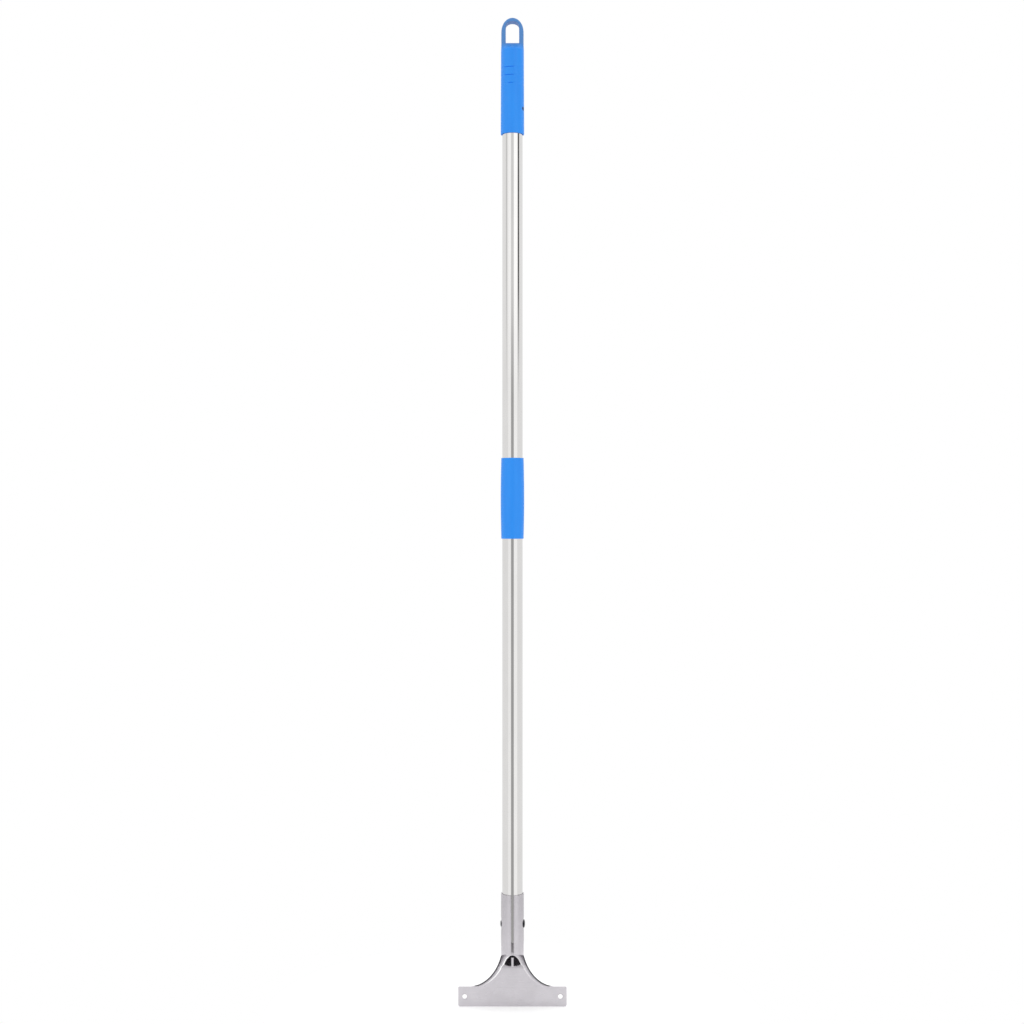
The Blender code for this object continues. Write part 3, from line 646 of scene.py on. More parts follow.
class TopGrip:
    """The cage of the top grip: one half, welded from grids and mirrored."""

    def __init__(self, settings):
        self.settings = settings
        self.foot = TOP_GRIP_FOOT
        self.foot_radius = GRIP_BORE + settings.foot_wall
        self.neck_radius = GRIP_BORE + settings.neck_wall
        self.half_width = self.neck_radius - FIT_GAP
        self.half_depth = settings.loop_thickness / 2
        self.hole_half = settings.hole_width / 2
        self.hole_top = POLE_TOP - settings.rim
        self.floor = self.hole_top - settings.hole_height
        self.shoulder_top = self.floor - SHOULDER_DROP
        self.shoulder_foot = self.shoulder_top - SHOULDER_HEIGHT
        self.rows = self.body_rows()

    def outside(self, height):
        """The body's outside radius, which narrows a little from mouth to shoulder."""
        share = (height - self.foot) / (self.shoulder_foot - self.foot)
        return blend(self.foot_radius, self.neck_radius, share)

    def grooves(self):
        """Heights of the three ring grooves, from the lowest up."""
        lowest = self.foot + self.settings.groove_rise
        return [lowest + self.settings.groove_pitch * index for index in range(len(MARK_SPANS))]

    def body_rows(self):
        """(height, radius or share of the way to the loop's section) from the bore up and over."""
        roof = UPPER_TUBE_TOP + FIT_GAP
        mouth = self.foot
        rows = [(height, GRIP_BORE, 0) for height in (roof, roof - 0.001, roof - 0.02, mouth + 0.02)]
        rows += [(mouth + 0.0014, GRIP_BORE, 0), (mouth + 0.0002, GRIP_BORE + 0.0001, 0)]
        rows += [(mouth, GRIP_BORE + 0.0005, 0), (mouth, self.foot_radius - 0.0006, 0)]
        rows += [(mouth + 0.0003, self.foot_radius - 0.0001, 0), (mouth + 0.0012, self.foot_radius, 0)]
        start = mouth + MOUTH_STRAIGHT
        for groove in self.grooves():
            steps = max(round((groove - GROOVE_ROOM - start) / BODY_FACE), 1)
            for step in range(steps):
                height = blend(start, groove - GROOVE_ROOM, step / steps)
                rows.append((height, self.outside(height), 0))
            for offset in (-GROOVE_HALF, -GROOVE_HALF / 2, 0, GROOVE_HALF / 2, GROOVE_HALF):
                depth = 0 if offset else GROOVE_PULL * self.settings.groove_depth
                rows.append((groove + offset, self.outside(groove + offset) - depth, 0))
            start = groove + 2 * GROOVE_HALF
        for step in range(4):
            height = blend(start, self.shoulder_foot - GROOVE_ROOM, step / 3)
            rows.append((height, self.outside(height), 0))
        for share in (0, 0.15, 0.5, 0.85, 1):
            height = blend(self.shoulder_foot, self.shoulder_top, share)
            rows.append((height, self.neck_radius, smoothstep(share)))
        rows.append((self.floor - LOOP_CORNER, self.neck_radius, 1))
        return rows + [(self.floor, self.neck_radius, 1)]

    def loop_section(self, column):
        """A point of the flat loop's outline, from the front middle round to the back middle."""
        depth, width, hole = self.half_depth, self.half_width, self.hole_half
        index = min(column, HALF_STEPS - column)
        front = (0, 0.37 * hole, hole - HOLE_EDGE, hole, hole + HOLE_EDGE, width - LOOP_FRONT_ROUNDING)
        x = front[min(index, 5)]
        y = -depth
        if index == 6:
            x, y = width - LOOP_CORNER, -depth + LOOP_CORNER
        elif index == 7:
            x, y = width, -depth + LOOP_SIDE_ROUNDING
        elif index == 8:
            x, y = width, 0
        return x, y if column <= HALF_STEPS / 2 else -y

    def body_point(self, column, row):
        height, radius, flat = self.rows[row]
        angle = STEP_ANGLE * column
        radius /= ROUND_SHRINK
        x, y = radius * math.sin(angle), -radius * math.cos(angle)
        to_x, to_y = self.loop_section(column)
        return Vector((blend(x, to_x, flat), blend(y, to_y, flat), height))

    def floor_row(self, row):
        """Depth of a row of the hole's wall, from its front edge to its back edge."""
        depth = self.half_depth
        return (-depth, HOLE_EDGE - depth, 0, depth - HOLE_EDGE, depth)[row]

    def floor_point(self, column, row):
        x = self.loop_section(column)[0]
        return Vector((x, self.floor_row(row), self.floor))

    def leg_point(self, column, share, arch):
        """A point of the leg's section, at a share of its straight part or of the arch's quarter."""
        inner = HALF_STEPS - 2 * SIDE_COLUMN
        if column <= inner:
            x, y = self.loop_section(column + SIDE_COLUMN)
        else:
            x, y = self.hole_half, self.floor_row(4 - (column - inner))
        out = (x - self.hole_half) / (self.half_width - self.hole_half)
        turn = arch * math.pi / 2
        crown = self.settings.loop_crown
        hole_crown = self.settings.hole_crown
        inner_foot, outer_foot = self.hole_top - hole_crown, POLE_TOP - crown
        inside = Vector((self.hole_half * math.cos(turn), inner_foot + hole_crown * math.sin(turn)))
        outside = Vector((self.half_width * math.cos(turn), outer_foot + crown * math.sin(turn)))
        if arch == 0:
            inside.y = blend(self.floor, inner_foot, share)
            outside.y = blend(self.floor, outer_foot, share)
        place = inside.lerp(outside, out)
        return Vector((place.x, y, place.y))

    def cage(self):
        """The half cage from three grids, then its mirror image."""
        bm = bmesh.new()
        rows = len(self.rows) - 1
        self.grid(bm, HALF_STEPS, rows, self.body_point)
        self.grid(bm, SIDE_COLUMN, 4, self.floor_point)
        shares = (0, 0.05, 0.3, 0.6, 0.85, 1)
        quarters = [step / 8 for step in range(9)]
        stations = [(share, 0) for share in shares] + [(1, quarter) for quarter in quarters[1:]]
        around = HALF_STEPS - 2 * SIDE_COLUMN + 4
        self.grid(bm, around, len(stations) - 1, lambda c, r: self.leg_point(c, *stations[r]))
        bmesh.ops.remove_doubles(bm, verts=bm.verts, dist=WELD)
        bmesh.ops.mirror(bm, geom=bm.verts[:] + bm.edges[:] + bm.faces[:], merge_dist=WELD, axis="X")
        bmesh.ops.remove_doubles(bm, verts=bm.verts, dist=WELD)
        open_edges = [edge for edge in bm.edges if edge.is_boundary]
        bmesh.ops.holes_fill(bm, edges=open_edges, sides=0)
        bmesh.ops.recalc_face_normals(bm, faces=bm.faces)
        return bm

    @staticmethod
    def grid(bm, columns, rows, place):
        made = bmesh.ops.create_grid(bm, x_segments=columns, y_segments=rows, size=1)
        for vert in made["verts"]:
            column = round((vert.co.x + 1) / 2 * columns)
            row = round((vert.co.y + 1) / 2 * rows)
            vert.co = place(column, row)


def screw_profile(gap, face, head_end, tip):
    """The countersunk screw with its face this far out, or the hole for it: wider by the gap."""
    neck, head = SCREW_NECK_RADIUS + gap, SCREW_HEAD_RADIUS + gap
    profile = [(0, head_end), (head, head_end), (head, face - SCREW_BRIM), (neck, face - SCREW_SINK)]
    return profile + [(neck, tip), (0, tip)]


def laid_at_screw(bm):
    """Lays a shape that stands round Z along the grip screw, which points out at its bearing."""
    outward = Matrix.Rotation(SCREW_BEARING - math.pi / 2, 4, "Z") @ Matrix.Rotation(math.pi / 2, 4, "Y")
    place = Matrix.Translation((0, 0, SCREW_HEIGHT)) @ outward
    bmesh.ops.transform(bm, matrix=place, verts=bm.verts)
    return bm


def engrave(mesh, heights):
    """Presses a short mark into the front of the grip at each of its ring grooves."""
    for vert in mesh.vertices:
        x, y, z = vert.co
        if y > 0 or math.hypot(x, y) < GRIP_BORE + 0.0005:
            continue
        for height, (start, end) in zip(heights, MARK_SPANS):
            if abs(z - height) > MARK_HALF_WIDTH:
                continue
            across = (MARK_HALF_WIDTH - abs(z - height)) / (MARK_HALF_WIDTH - MARK_FLOOR)
            inside = smoothstep((x - start) / MARK_END) * smoothstep((end - x) / MARK_END)
            share = 1 - MARK_DEPTH * smoothstep(across) * inside / math.hypot(x, y)
            vert.co.x, vert.co.y = x * share, y * share


class POLE_OT_top_grip(Operator):
    """Make the top grip with its hanging loop, and the screw that holds it"""

    bl_idname = "pole.top_grip"
    bl_label = "Top grip"

    def execute(self, context):
        settings = context.scene.pole_grips
        shape = TopGrip(settings)
        grip = new_object("top_grip_moulding", shape.cage())
        smooth = grip.modifiers.new("smooth", "SUBSURF")
        smooth.levels = GRIP_SUBDIVISION
        smooth.render_levels = GRIP_SUBDIVISION
        settle(grip)
        engrave(grip.data, shape.grooves())
        face = shape.outside(SCREW_HEIGHT) - FIT_GAP
        hole = turned(screw_profile(FIT_GAP, face, face + 0.01, TUBE_RADIUS - 0.001), 48)
        cut(grip, laid_at_screw(hole))
        grip.data.shade_smooth()
        blue = finish_named("blue_plastic", blue_plastic, settings)
        finish_piece(grip, UPPER, "blue_grip", [blue], "top_grip")
        bm = laid_at_screw(turned(screw_profile(0, face, face, face - SCREW_LENGTH), 48))
        screw = new_object("top_grip_screw_steel", soften(bm, 0.00008))
        cut(screw, *[laid_at_screw(box_at((0, 0, face), slot)) for slot in SCREW_SLOTS])
        steel = finish_named("fastener_steel", fastener_steel)
        finish_piece(screw, UPPER, "rivet_steel", [steel], "top_grip_screw")
        return {"FINISHED"}


# Middle grip

BARREL_STEPS = 24
BARREL_ROUNDING = 0.00045


class POLE_OT_mid_grip(Operator):
    """Make the barrel-shaped middle grip"""

    bl_idname = "pole.mid_grip"
    bl_label = "Middle grip"

    def execute(self, context):
        settings = context.scene.pole_grips
        end = GRIP_BORE + settings.barrel_end_wall
        bulge = settings.barrel_wall - settings.barrel_end_wall
        middle = (MID_GRIP_FOOT + MID_GRIP_TOP) / 2
        half = (MID_GRIP_TOP - MID_GRIP_FOOT) / 2
        barrel = []
        for step in range(BARREL_STEPS + 1):
            along = 1 - 2 * step / BARREL_STEPS
            radius = end + bulge * math.cos(along * math.pi / 2)
            barrel.append((radius, middle + along * (half - 2 * BARREL_ROUNDING)))
        rim = end - 0.00005
        corners = [(GRIP_BORE, MID_GRIP_TOP - 0.001), (GRIP_BORE, MID_GRIP_TOP), (rim, MID_GRIP_TOP)]
        top = round_off(corners + [barrel[0]], BARREL_ROUNDING, 5)
        corners = [(rim, MID_GRIP_FOOT), (GRIP_BORE, MID_GRIP_FOOT), (GRIP_BORE, MID_GRIP_FOOT + 0.001)]
        foot = round_off([barrel[-1]] + corners, BARREL_ROUNDING, 5)
        inside = long_run((GRIP_BORE, MID_GRIP_FOOT + 0.004), (GRIP_BORE, MID_GRIP_TOP - 0.004), 10)
        outline = [tuple(point) for point in top + barrel[1:-1] + foot + inside]
        grip = new_object("mid_grip_moulding", turned(outline, 128))
        blue = finish_named("blue_plastic", blue_plastic, settings)
        finish_piece(grip, LOWER, "blue_grip", [blue], "mid_grip")
        return {"FINISHED"}


# Head

FLAT_COLUMNS = 10
BEND_COLUMNS = 14
WRAP_COLUMNS = 30
ARM_COLUMNS = 20
FAN_ROWS = 110
SLEEVE_ROWS = 70
BAND_ROWS = 24
SLEEVE_MIDDLE = TUBE_RADIUS + FIT_GAP + SHEET / 2
SLEEVE_OUTSIDE = SLEEVE_MIDDLE + SHEET / 2
TOP_PULL = (0.075, 0.38)
FOOT_PULL = (0.56, 0.07)
CREASE_ANGLE = math.radians(32)
LIP_END = 1 - 1 / 18
NARROW_FLOOR = 0.0004
FLOOR_SPREAD = 0.107
FLOOR_BLEND = 0.0004
FLOOR_CROWDING = 1.6
FOOT_BEND_PACE = 2.5
LIP_FADE = 5
OPENING_SLOPE, OPENING_DROP = 1.5, 0.0105
BAND_LOW_CORNER, BAND_TOP_CORNER = 0.0025, 0.001
DENT_DEPTH, DENT_RADIUS, DENT_EDGE = 0.00022, 0.0068, 0.0016
POLISHED_FOOT = 0.048
POLISHED_FOOT_CURVE = 26.6
CREASE_POLISH = 0.6
HEAD_HOLE_RADIUS = 0.0026
CUT_REACH = 0.03
# Strength, fade and reach of the crease's painted highlight, stronger on the left where the light falls.
LEFT_CREASE_HIGHLIGHT, RIGHT_CREASE_HIGHLIGHT = 1.0, 0.28
CREASE_FOOT_FADE, CREASE_TOP_FADE, CREASE_TOP_GAP = 0.009, 0.0018, 0.0003
CREASE_REACH, CREASE_SOFTNESS = 1.8, 1.1
# Where and how strongly the lip's outside is painted dark as shade.
LIP_DARK_FROM, LIP_DARK_OVER = 0.66, 0.3
LIP_DARK_TOP, LIP_DARK_FOOT = 0.0008, 0.0012


class Head:
    """The rule that lays the pressed sheet out, from its sleeve to its band."""

    def __init__(self, settings):
        self.settings = settings
        self.fan_foot = HEAD_HALF - settings.shoulder
        self.edge = FLAT_COLUMNS + BEND_COLUMNS

    def outline(self, t):
        """Half-width, height and lean of the fan's edge, on one cubic curve."""
        foot, band = self.settings.sleeve_foot, self.settings.band
        run, drop = self.fan_foot - SLEEVE_MIDDLE, foot - band
        start, end = Vector((SLEEVE_MIDDLE, foot)), Vector((self.fan_foot, band))
        near_start = start + Vector((TOP_PULL[0] * run, -TOP_PULL[1] * drop))
        near_end = end + Vector((-FOOT_PULL[0] * run, FOOT_PULL[1] * drop))
        s = 1 - t
        point = s**3 * start + 3 * s * s * t * near_start + 3 * s * t * t * near_end + t**3 * end
        tangent = s * s * (near_start - start) + 2 * s * t * (near_end - near_start)
        tangent += t * t * (end - near_end)
        return point.x, point.y, abs(tangent.y) / tangent.length

    def floor(self, height):
        """The channel's floor: the back of the sleeve, then the ramp, then the plate."""
        top = self.settings.ramp_top
        return blend(SLEEVE_MIDDLE, PLATE, (top - height) / (top - self.settings.ramp_foot))

    def flat(self, half_width, height, bend):
        """Half-width of the channel's floor, which spreads from a point at the ramp's top."""
        drop = max(self.settings.ramp_top - height, 0)
        spreading = FLOOR_SPREAD * math.sqrt(drop) + OPENING_SLOPE * max(drop - OPENING_DROP, 0)
        beside = half_width - bend
        middle, apart = (spreading + beside) / 2, (spreading - beside) / 2
        return max(middle - math.hypot(apart, FLOOR_BLEND), NARROW_FLOOR)

    def fan_point(self, column, t):
        """A point of the fan: flat floor, crease, quarter bend and turned-up lip."""
        settings = self.settings
        half_width, height, lean = self.outline(t)
        opening = (settings.sleeve_foot - height) / (settings.sleeve_foot - settings.ramp_foot)
        spread = (settings.ramp_foot - height) / (settings.ramp_foot - settings.band)
        bend = blend(settings.edge_bend, settings.foot_bend, max(spread, 0) ** FOOT_BEND_PACE)
        lip = blend(SLEEVE_MIDDLE, settings.lip, opening) * (1 - blend(0, 1, t / LIP_END) ** LIP_FADE)
        flat = self.flat(half_width, height, bend / lean)
        reach = half_width - flat
        side, index = math.copysign(1, column), abs(column)
        if index <= FLAT_COLUMNS:
            x = flat * (1 - (1 - index / FLAT_COLUMNS) ** FLOOR_CROWDING)
            return Vector((side * x, self.floor(height), height))
        rise = lip if index == self.edge else min(reach * lean, lip)
        crease = CREASE_ANGLE * smoothstep(opening * 2)
        angle = blend(crease, math.pi / 2, (index - FLAT_COLUMNS) / BEND_COLUMNS)
        out = (math.sin(angle) - math.sin(crease)) / (1 - math.sin(crease))
        up = (math.cos(crease) - math.cos(angle)) / math.cos(crease)
        return Vector((side * (flat + reach * out), self.floor(height) - rise * up, height))

    def sleeve_point(self, column, share):
        """A point of the sleeve, round from the back's middle to the open seam."""
        side, index = math.copysign(1, column), abs(column)
        if index <= self.edge:
            foot = self.fan_point(column, 0)
            start, even = math.atan2(abs(foot.x), foot.y), math.pi / 2 * index / self.edge
            angle = blend(start, even, smoothstep(share * 3))
        else:
            seam = math.asin(self.settings.seam / 2 / SLEEVE_MIDDLE)
            angle = blend(math.pi / 2, math.pi - seam, (index - self.edge) / WRAP_COLUMNS)
        x, y = side * SLEEVE_MIDDLE * math.sin(angle), SLEEVE_MIDDLE * math.cos(angle)
        foot = self.settings.sleeve_foot + self.settings.rim_slope * max(-y, 0)
        height = blend(foot, SLEEVE_TOP, share)
        reach = math.hypot(y, height - RIVET_HEIGHT)
        dent = DENT_DEPTH * (1 - smoothstep((reach - DENT_RADIUS) / DENT_EDGE))
        dent *= (abs(x) / SLEEVE_MIDDLE) ** 2
        return Vector((x - math.copysign(dent, x), y, height))

    def corner(self, x, radius):
        """How much a rounded corner of the band takes off its height at x."""
        past = max(x - (HEAD_HALF - radius), 0)
        return radius - math.sqrt(max(radius**2 - past**2, 0))

    def band_point(self, column, share):
        """A point of the band, under the fan or in an arm beside it."""
        side, index = math.copysign(1, column), abs(column)
        x = abs(self.fan_point(min(index, self.edge), 1).x)
        if index > self.edge:
            arm = (index - self.edge) / ARM_COLUMNS
            x = self.fan_foot + self.settings.shoulder * math.sin(arm * math.pi / 2)
        low = self.corner(x, BAND_LOW_CORNER)
        high = self.settings.band - self.corner(x, BAND_TOP_CORNER)
        return Vector((side * x, PLATE, blend(low, high, share)))

    def sheet(self):
        """The sheet of no thickness, with its burnished ramp, its creases and its flank marked."""
        bm = bmesh.new()
        burnish = bm.verts.layers.float.new("burnish")
        flank = bm.verts.layers.float.new("flank")
        crease = bm.verts.layers.float.new("crease")
        patch(bm, self.edge + WRAP_COLUMNS, SLEEVE_ROWS, self.sleeve_point)
        made = bmesh.ops.create_grid(bm, x_segments=2 * self.edge, y_segments=FAN_ROWS, size=1)
        for vert in made["verts"]:
            column, t = round(vert.co.x * self.edge), (vert.co.y + 1) / 2
            vert.co = self.fan_point(column, t)
            vert[burnish] = self.burnish_share(abs(column), vert.co)
            vert[flank] = self.flank_share(abs(column), vert.co)
            vert[crease] = self.crease_highlight_share(column, vert.co.z)
        patch(bm, self.edge + ARM_COLUMNS, BAND_ROWS, self.band_point)
        bmesh.ops.remove_doubles(bm, verts=bm.verts, dist=WELD)
        bmesh.ops.recalc_face_normals(bm, faces=bm.faces)
        return bm

    def burnish_share(self, index, place):
        """How far the press has polished a point: fully on the ramp, partly along the creases."""
        foot = POLISHED_FOOT + POLISHED_FOOT_CURVE * place.x**2
        if foot < place.z < self.settings.ramp_top and index <= FLAT_COLUMNS:
            return 1.0
        near_crease = -1 <= index - FLAT_COLUMNS <= 2
        return CREASE_POLISH if near_crease else 0.0

    def crease_highlight_share(self, column, height):
        """How pale the crease is painted as a highlight: strongly on the left, faintly on the right, as
        the light falls.
        """
        beside = abs(abs(column) - FLAT_COLUMNS - 0.5)
        strength = LEFT_CREASE_HIGHLIGHT if column < 0 else RIGHT_CREASE_HIGHLIGHT
        fade = smoothstep((height - self.settings.band) / CREASE_FOOT_FADE)
        fade *= smoothstep((self.settings.ramp_top - CREASE_TOP_GAP - height) / CREASE_TOP_FADE)
        return strength * fade * smoothstep((CREASE_REACH - beside) / CREASE_SOFTNESS)

    def flank_share(self, index, place):
        """How dark the outside of the turned-up lip is painted, as shade."""
        top, foot = self.settings.sleeve_foot - LIP_DARK_TOP, self.settings.band + LIP_DARK_FOOT
        if not foot < place.z < top:
            return 0.0
        return smoothstep((index / self.edge - LIP_DARK_FROM) / LIP_DARK_OVER)


def blade_hole(settings, side):
    """A cutter for a screw hole in an arm of the band, countersunk from the front."""
    sink = settings.sink_radius - settings.hole_radius
    profile = [(0, CUT_REACH), (settings.hole_radius, CUT_REACH), (settings.hole_radius, sink / 2)]
    profile += [(settings.sink_radius, 0), (settings.sink_radius, -SHEET), (0, -SHEET)]
    bm = turned(profile, 48)
    centre = (side * (HEAD_HALF - settings.hole_inset), PLATE_FRONT, settings.band / 2)
    to_y = Matrix.Translation(centre) @ Matrix.Rotation(-math.pi / 2, 4, "X")
    bmesh.ops.transform(bm, matrix=to_y, verts=bm.verts)
    return bm


def mark_sides(mesh, settings):
    """Keeps the flank's painted shade to the outer side, and gives the sleeve's inside its own finish,
    painted dark as shade.
    """
    flank = mesh.attributes["flank"]
    for vert in mesh.vertices:
        side = math.copysign(1, vert.co.x)
        outward = vert.normal.x * side + vert.normal.z
        forward_edge = vert.normal.y < -0.6 and flank.data[vert.index].value > 0.98
        # Less painted shade where the flank does not face outward.
        if outward < 0.25 and not forward_edge:
            flank.data[vert.index].value *= 0.6
    for face in mesh.polygons:
        place, normal = face.center, face.normal
        inward = place.x * normal.x + place.y * normal.y < 0
        inside = math.hypot(place.x, place.y) < SLEEVE_MIDDLE - 0.0002
        if inward and inside and place.z > settings.sleeve_foot + 0.0002:
            face.material_index = 1


class POLE_OT_head(Operator):
    """Make the pressed head: sleeve, seam, fan with turned-up edges, and holed band"""

    bl_idname = "pole.head"
    bl_label = "Head"

    def execute(self, context):
        settings = context.scene.pole_head
        head = new_object("head_pressing", Head(settings).sheet())
        thickness = head.modifiers.new("sheet", "SOLIDIFY")
        thickness.thickness = SHEET
        thickness.offset = 0
        settle(head)
        bm = bmesh.new()
        bm.from_mesh(head.data)
        soften(bm, SOFT_EDGE, 60)
        bm.to_mesh(head.data)
        bm.free()
        cut(head, rod(HEAD_HOLE_RADIUS, -CUT_REACH, CUT_REACH, "X", (0, 0, RIVET_HEIGHT)))
        cut(head, blade_hole(settings, -1), blade_hole(settings, 1))
        head.data.shade_smooth()
        satin = finish_named("satin_steel", satin_steel, settings)
        inside = finish_named("sleeve_inside_shade", sleeve_inside_shade)
        finish_piece(head, LOWER, "satin_sheet", [satin, inside], "head")
        mark_sides(head.data, settings)
        return {"FINISHED"}


# Rivet and plug

RIVET_RADIUS, RIVET_HEAD_RADIUS, RIVET_TAIL_RADIUS = 0.0024, 0.005, 0.0039
RIVET_SUNK = 0.0012
RIVET_FIT = 0.0001
PLUG_HOLE_RADIUS = 0.0027
PLUG_WALL, PLUG_FLOOR = 0.0016, 0.004


def rivet_end(radius, end, side):
    """A low dome on the left or right of the sleeve, its foot sunk into it."""
    low = SLEEVE_OUTSIDE - RIVET_SUNK
    brim = low + (end - low) * 0.5
    dome = arc((0, brim), (radius, end - brim), 90, 0, 12)
    bm = turned([(0, end)] + dome[1:] + [(radius, low), (0, low)], 64)
    outward = Matrix.Translation((0, 0, RIVET_HEIGHT)) @ Matrix.Rotation(side * math.pi / 2, 4, "Y")
    bmesh.ops.transform(bm, matrix=outward, verts=bm.verts)
    return bm


class POLE_OT_rivet(Operator):
    """Make the head's rivet with a broad head, a smaller tail and its shank"""

    bl_idname = "pole.rivet"
    bl_label = "Rivet and plug"

    def execute(self, context):
        steel = finish_named("fastener_steel", fastener_steel)
        rivet = new_object("head_rivet_steel", rivet_end(RIVET_HEAD_RADIUS, RIVET_HEAD_END, 1))
        combine(rivet, "UNION", rivet_end(RIVET_TAIL_RADIUS, RIVET_TAIL_END, -1))
        cut(rivet, rod(SLEEVE_OUTSIDE + RIVET_FIT, -0.02, 0.02, "Z", (0, 0, RIVET_HEIGHT), 192))
        half = RIVET_TAIL_END - 0.0005
        combine(rivet, "UNION", rod(RIVET_RADIUS, -half, half, "X", (0, 0, RIVET_HEIGHT)))
        rivet.data.shade_smooth()
        finish_piece(rivet, LOWER, "rivet_steel", [steel], "head_rivet")
        low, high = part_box("tube_plug")
        profile = [(0, high.z), (high.x, high.z), (high.x, low.z), (high.x - PLUG_WALL, low.z)]
        profile += [(high.x - PLUG_WALL, low.z + PLUG_FLOOR), (0, low.z + PLUG_FLOOR)]
        plug = new_object("tube_plug_nylon", turned(round_off(profile, 0.0004), 96))
        cut(plug, rod(PLUG_HOLE_RADIUS, -CUT_REACH, CUT_REACH, "X", (0, 0, RIVET_HEIGHT)))
        plug.data.shade_smooth()
        finish_piece(plug, LOWER, "grey_nylon", [finish_named("grey_nylon", grey_nylon)], "tube_plug")
        return {"FINISHED"}


# Threaded joint

THREAD_STEPS = 48
THREAD_SUNK = 0.0006
THREAD_RUNOUT = 0.00165
RIM = 0.00025


class Thread:
    """The threaded joint's sizes, most of them read from its own nodes."""

    def __init__(self, settings, tube_wall):
        self.settings = settings
        spigot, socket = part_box("thread_spigot"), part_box("thread_socket")
        self.washer_foot, self.washer_top = (corner.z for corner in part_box("joint_washer"))
        self.run = settings.pitch * settings.turns
        self.insert = TUBE_RADIUS - tube_wall - FIT_GAP
        self.spigot_foot, self.spigot_top = spigot[0].z, spigot[1].z
        self.spigot_flange = self.washer_top + FIT_GAP
        self.socket_flange = self.washer_foot - FIT_GAP
        self.socket_foot = socket[0].z
        self.outside = settings.stud + settings.depth
        self.socket_bore = self.outside + settings.gap
        self.start = self.spigot_foot + THREAD_RUNOUT
        self.step = self.spigot_foot - THREAD_RUNOUT

    def ridge(self, wall, crest, start):
        """A right-handed helical ridge that stands on a wall and is sunk a little into it."""
        settings = self.settings
        spare = settings.pitch / 2 - settings.gap - settings.crest
        root = settings.crest / 2 + spare * settings.depth / (settings.depth - settings.gap)
        sunk = wall + math.copysign(THREAD_SUNK, wall - crest)
        half = [(sunk, root), (wall, root), (crest, settings.crest / 2)]
        outline = half + [(radius, -height) for radius, height in reversed(half)]
        bm = bmesh.new()
        bm.faces.new([bm.verts.new((radius, 0, start + height)) for radius, height in outline])
        steps = settings.turns * THREAD_STEPS
        bmesh.ops.spin(
            bm,
            geom=bm.verts[:] + bm.edges[:] + bm.faces[:],
            cent=(0, 0, 0),
            axis=(0, 0, 1),
            dvec=(0, 0, self.run / steps),
            angle=math.tau * settings.turns,
            steps=steps,
        )
        bmesh.ops.recalc_face_normals(bm, faces=bm.faces)
        return bm

    def threaded(self, name, profile, ridge, pin_height):
        """A turned insert with rounded rims, its ridge and its cross hole."""
        made = new_object(name, turned(profile, 2 * THREAD_STEPS))
        combine(made, "UNION", ridge)
        reach = TUBE_RADIUS + 0.01
        pin_hole = rod(PIN_RADIUS + FIT_GAP, -reach, reach, "X", (0, 0, pin_height))
        cut(made, pin_hole)
        made.data.shade_smooth()
        made.data.set_sharp_from_angle(angle=math.radians(35))
        return made

    def spigot(self):
        stud_bore, stud = self.settings.bore, self.settings.stud
        flange_top = self.spigot_flange + self.settings.flange
        corners = [(stud_bore, self.spigot_foot + 0.002), (stud_bore, self.spigot_top)]
        corners += [(self.insert, self.spigot_top), (self.insert, flange_top)]
        corners += [(TUBE_RADIUS, flange_top), (TUBE_RADIUS, self.spigot_flange)]
        corners += [(stud, self.spigot_flange), (stud, self.spigot_foot)]
        corners += [(stud_bore, self.spigot_foot), (stud_bore, self.spigot_foot + 0.001)]
        ridge = self.ridge(stud, self.outside, self.start)
        profile = round_off(corners, RIM)
        return self.threaded("thread_spigot_nylon", profile, ridge, SPIGOT_PIN_HEIGHT)

    def socket(self):
        bore, flange_foot = self.socket_bore, self.socket_flange - self.settings.flange
        corners = [(bore, self.socket_flange - 0.002), (bore, self.socket_flange)]
        corners += [(TUBE_RADIUS, self.socket_flange), (TUBE_RADIUS, flange_foot)]
        corners += [(self.insert, flange_foot), (self.insert, self.socket_foot)]
        corners += [(self.settings.foot_bore, self.socket_foot), (self.settings.foot_bore, self.step)]
        corners += [(bore, self.step), (bore, self.step + 0.001)]
        start = self.start + self.settings.pitch / 2
        ridge = self.ridge(bore, self.settings.stud + self.settings.gap, start)
        profile = round_off(corners, RIM)
        return self.threaded("thread_socket_nylon", profile, ridge, SOCKET_PIN_HEIGHT)


class POLE_OT_joint(Operator):
    """Make the threaded joint: spigot, socket, their cross pins and the washer between"""

    bl_idname = "pole.joint"
    bl_label = "Threaded joint"

    def execute(self, context):
        thread = Thread(context.scene.pole_thread, context.scene.pole_tubes.wall)
        nylon = finish_named("grey_nylon", grey_nylon)
        steel = finish_named("fastener_steel", fastener_steel)
        rubber = finish_named("black_rubber", black_rubber)
        finish_piece(thread.spigot(), UPPER, "grey_nylon", [nylon], "thread_spigot")
        finish_piece(thread.socket(), LOWER, "grey_nylon", [nylon], "thread_socket")
        half = TUBE_RADIUS - FIT_GAP
        for node, body, height in (
            ("spigot_pin", UPPER, SPIGOT_PIN_HEIGHT),
            ("socket_pin", LOWER, SOCKET_PIN_HEIGHT),
        ):
            pin = soften(rod(PIN_RADIUS, -half, half, "X", (0, 0, height)), SOFT_EDGE)
            finish_piece(new_object(node + "_steel", pin), body, "rivet_steel", [steel], node)
        bm = pipe(thread.socket_bore, half, thread.washer_foot, thread.washer_top, 96)
        washer = new_object("joint_washer_rubber", bm)
        finish_piece(washer, RING, "black_rubber", [rubber], "joint_washer")
        return {"FINISHED"}


# Stage

FLOOR_RADIUS = 0.3
FLOOR_GLOW = 0.24
CAMERA_SHIFT = -0.00044
WHITE = (1.0, 1.0, 1.0, 1.0)
CEILING = (1.05, 1.05, 1.05, 1.0)
HORIZON_FADE, CEILING_FADE = (0.07, 0.14), (0.35, 0.55)
PANEL_EDGE = 3
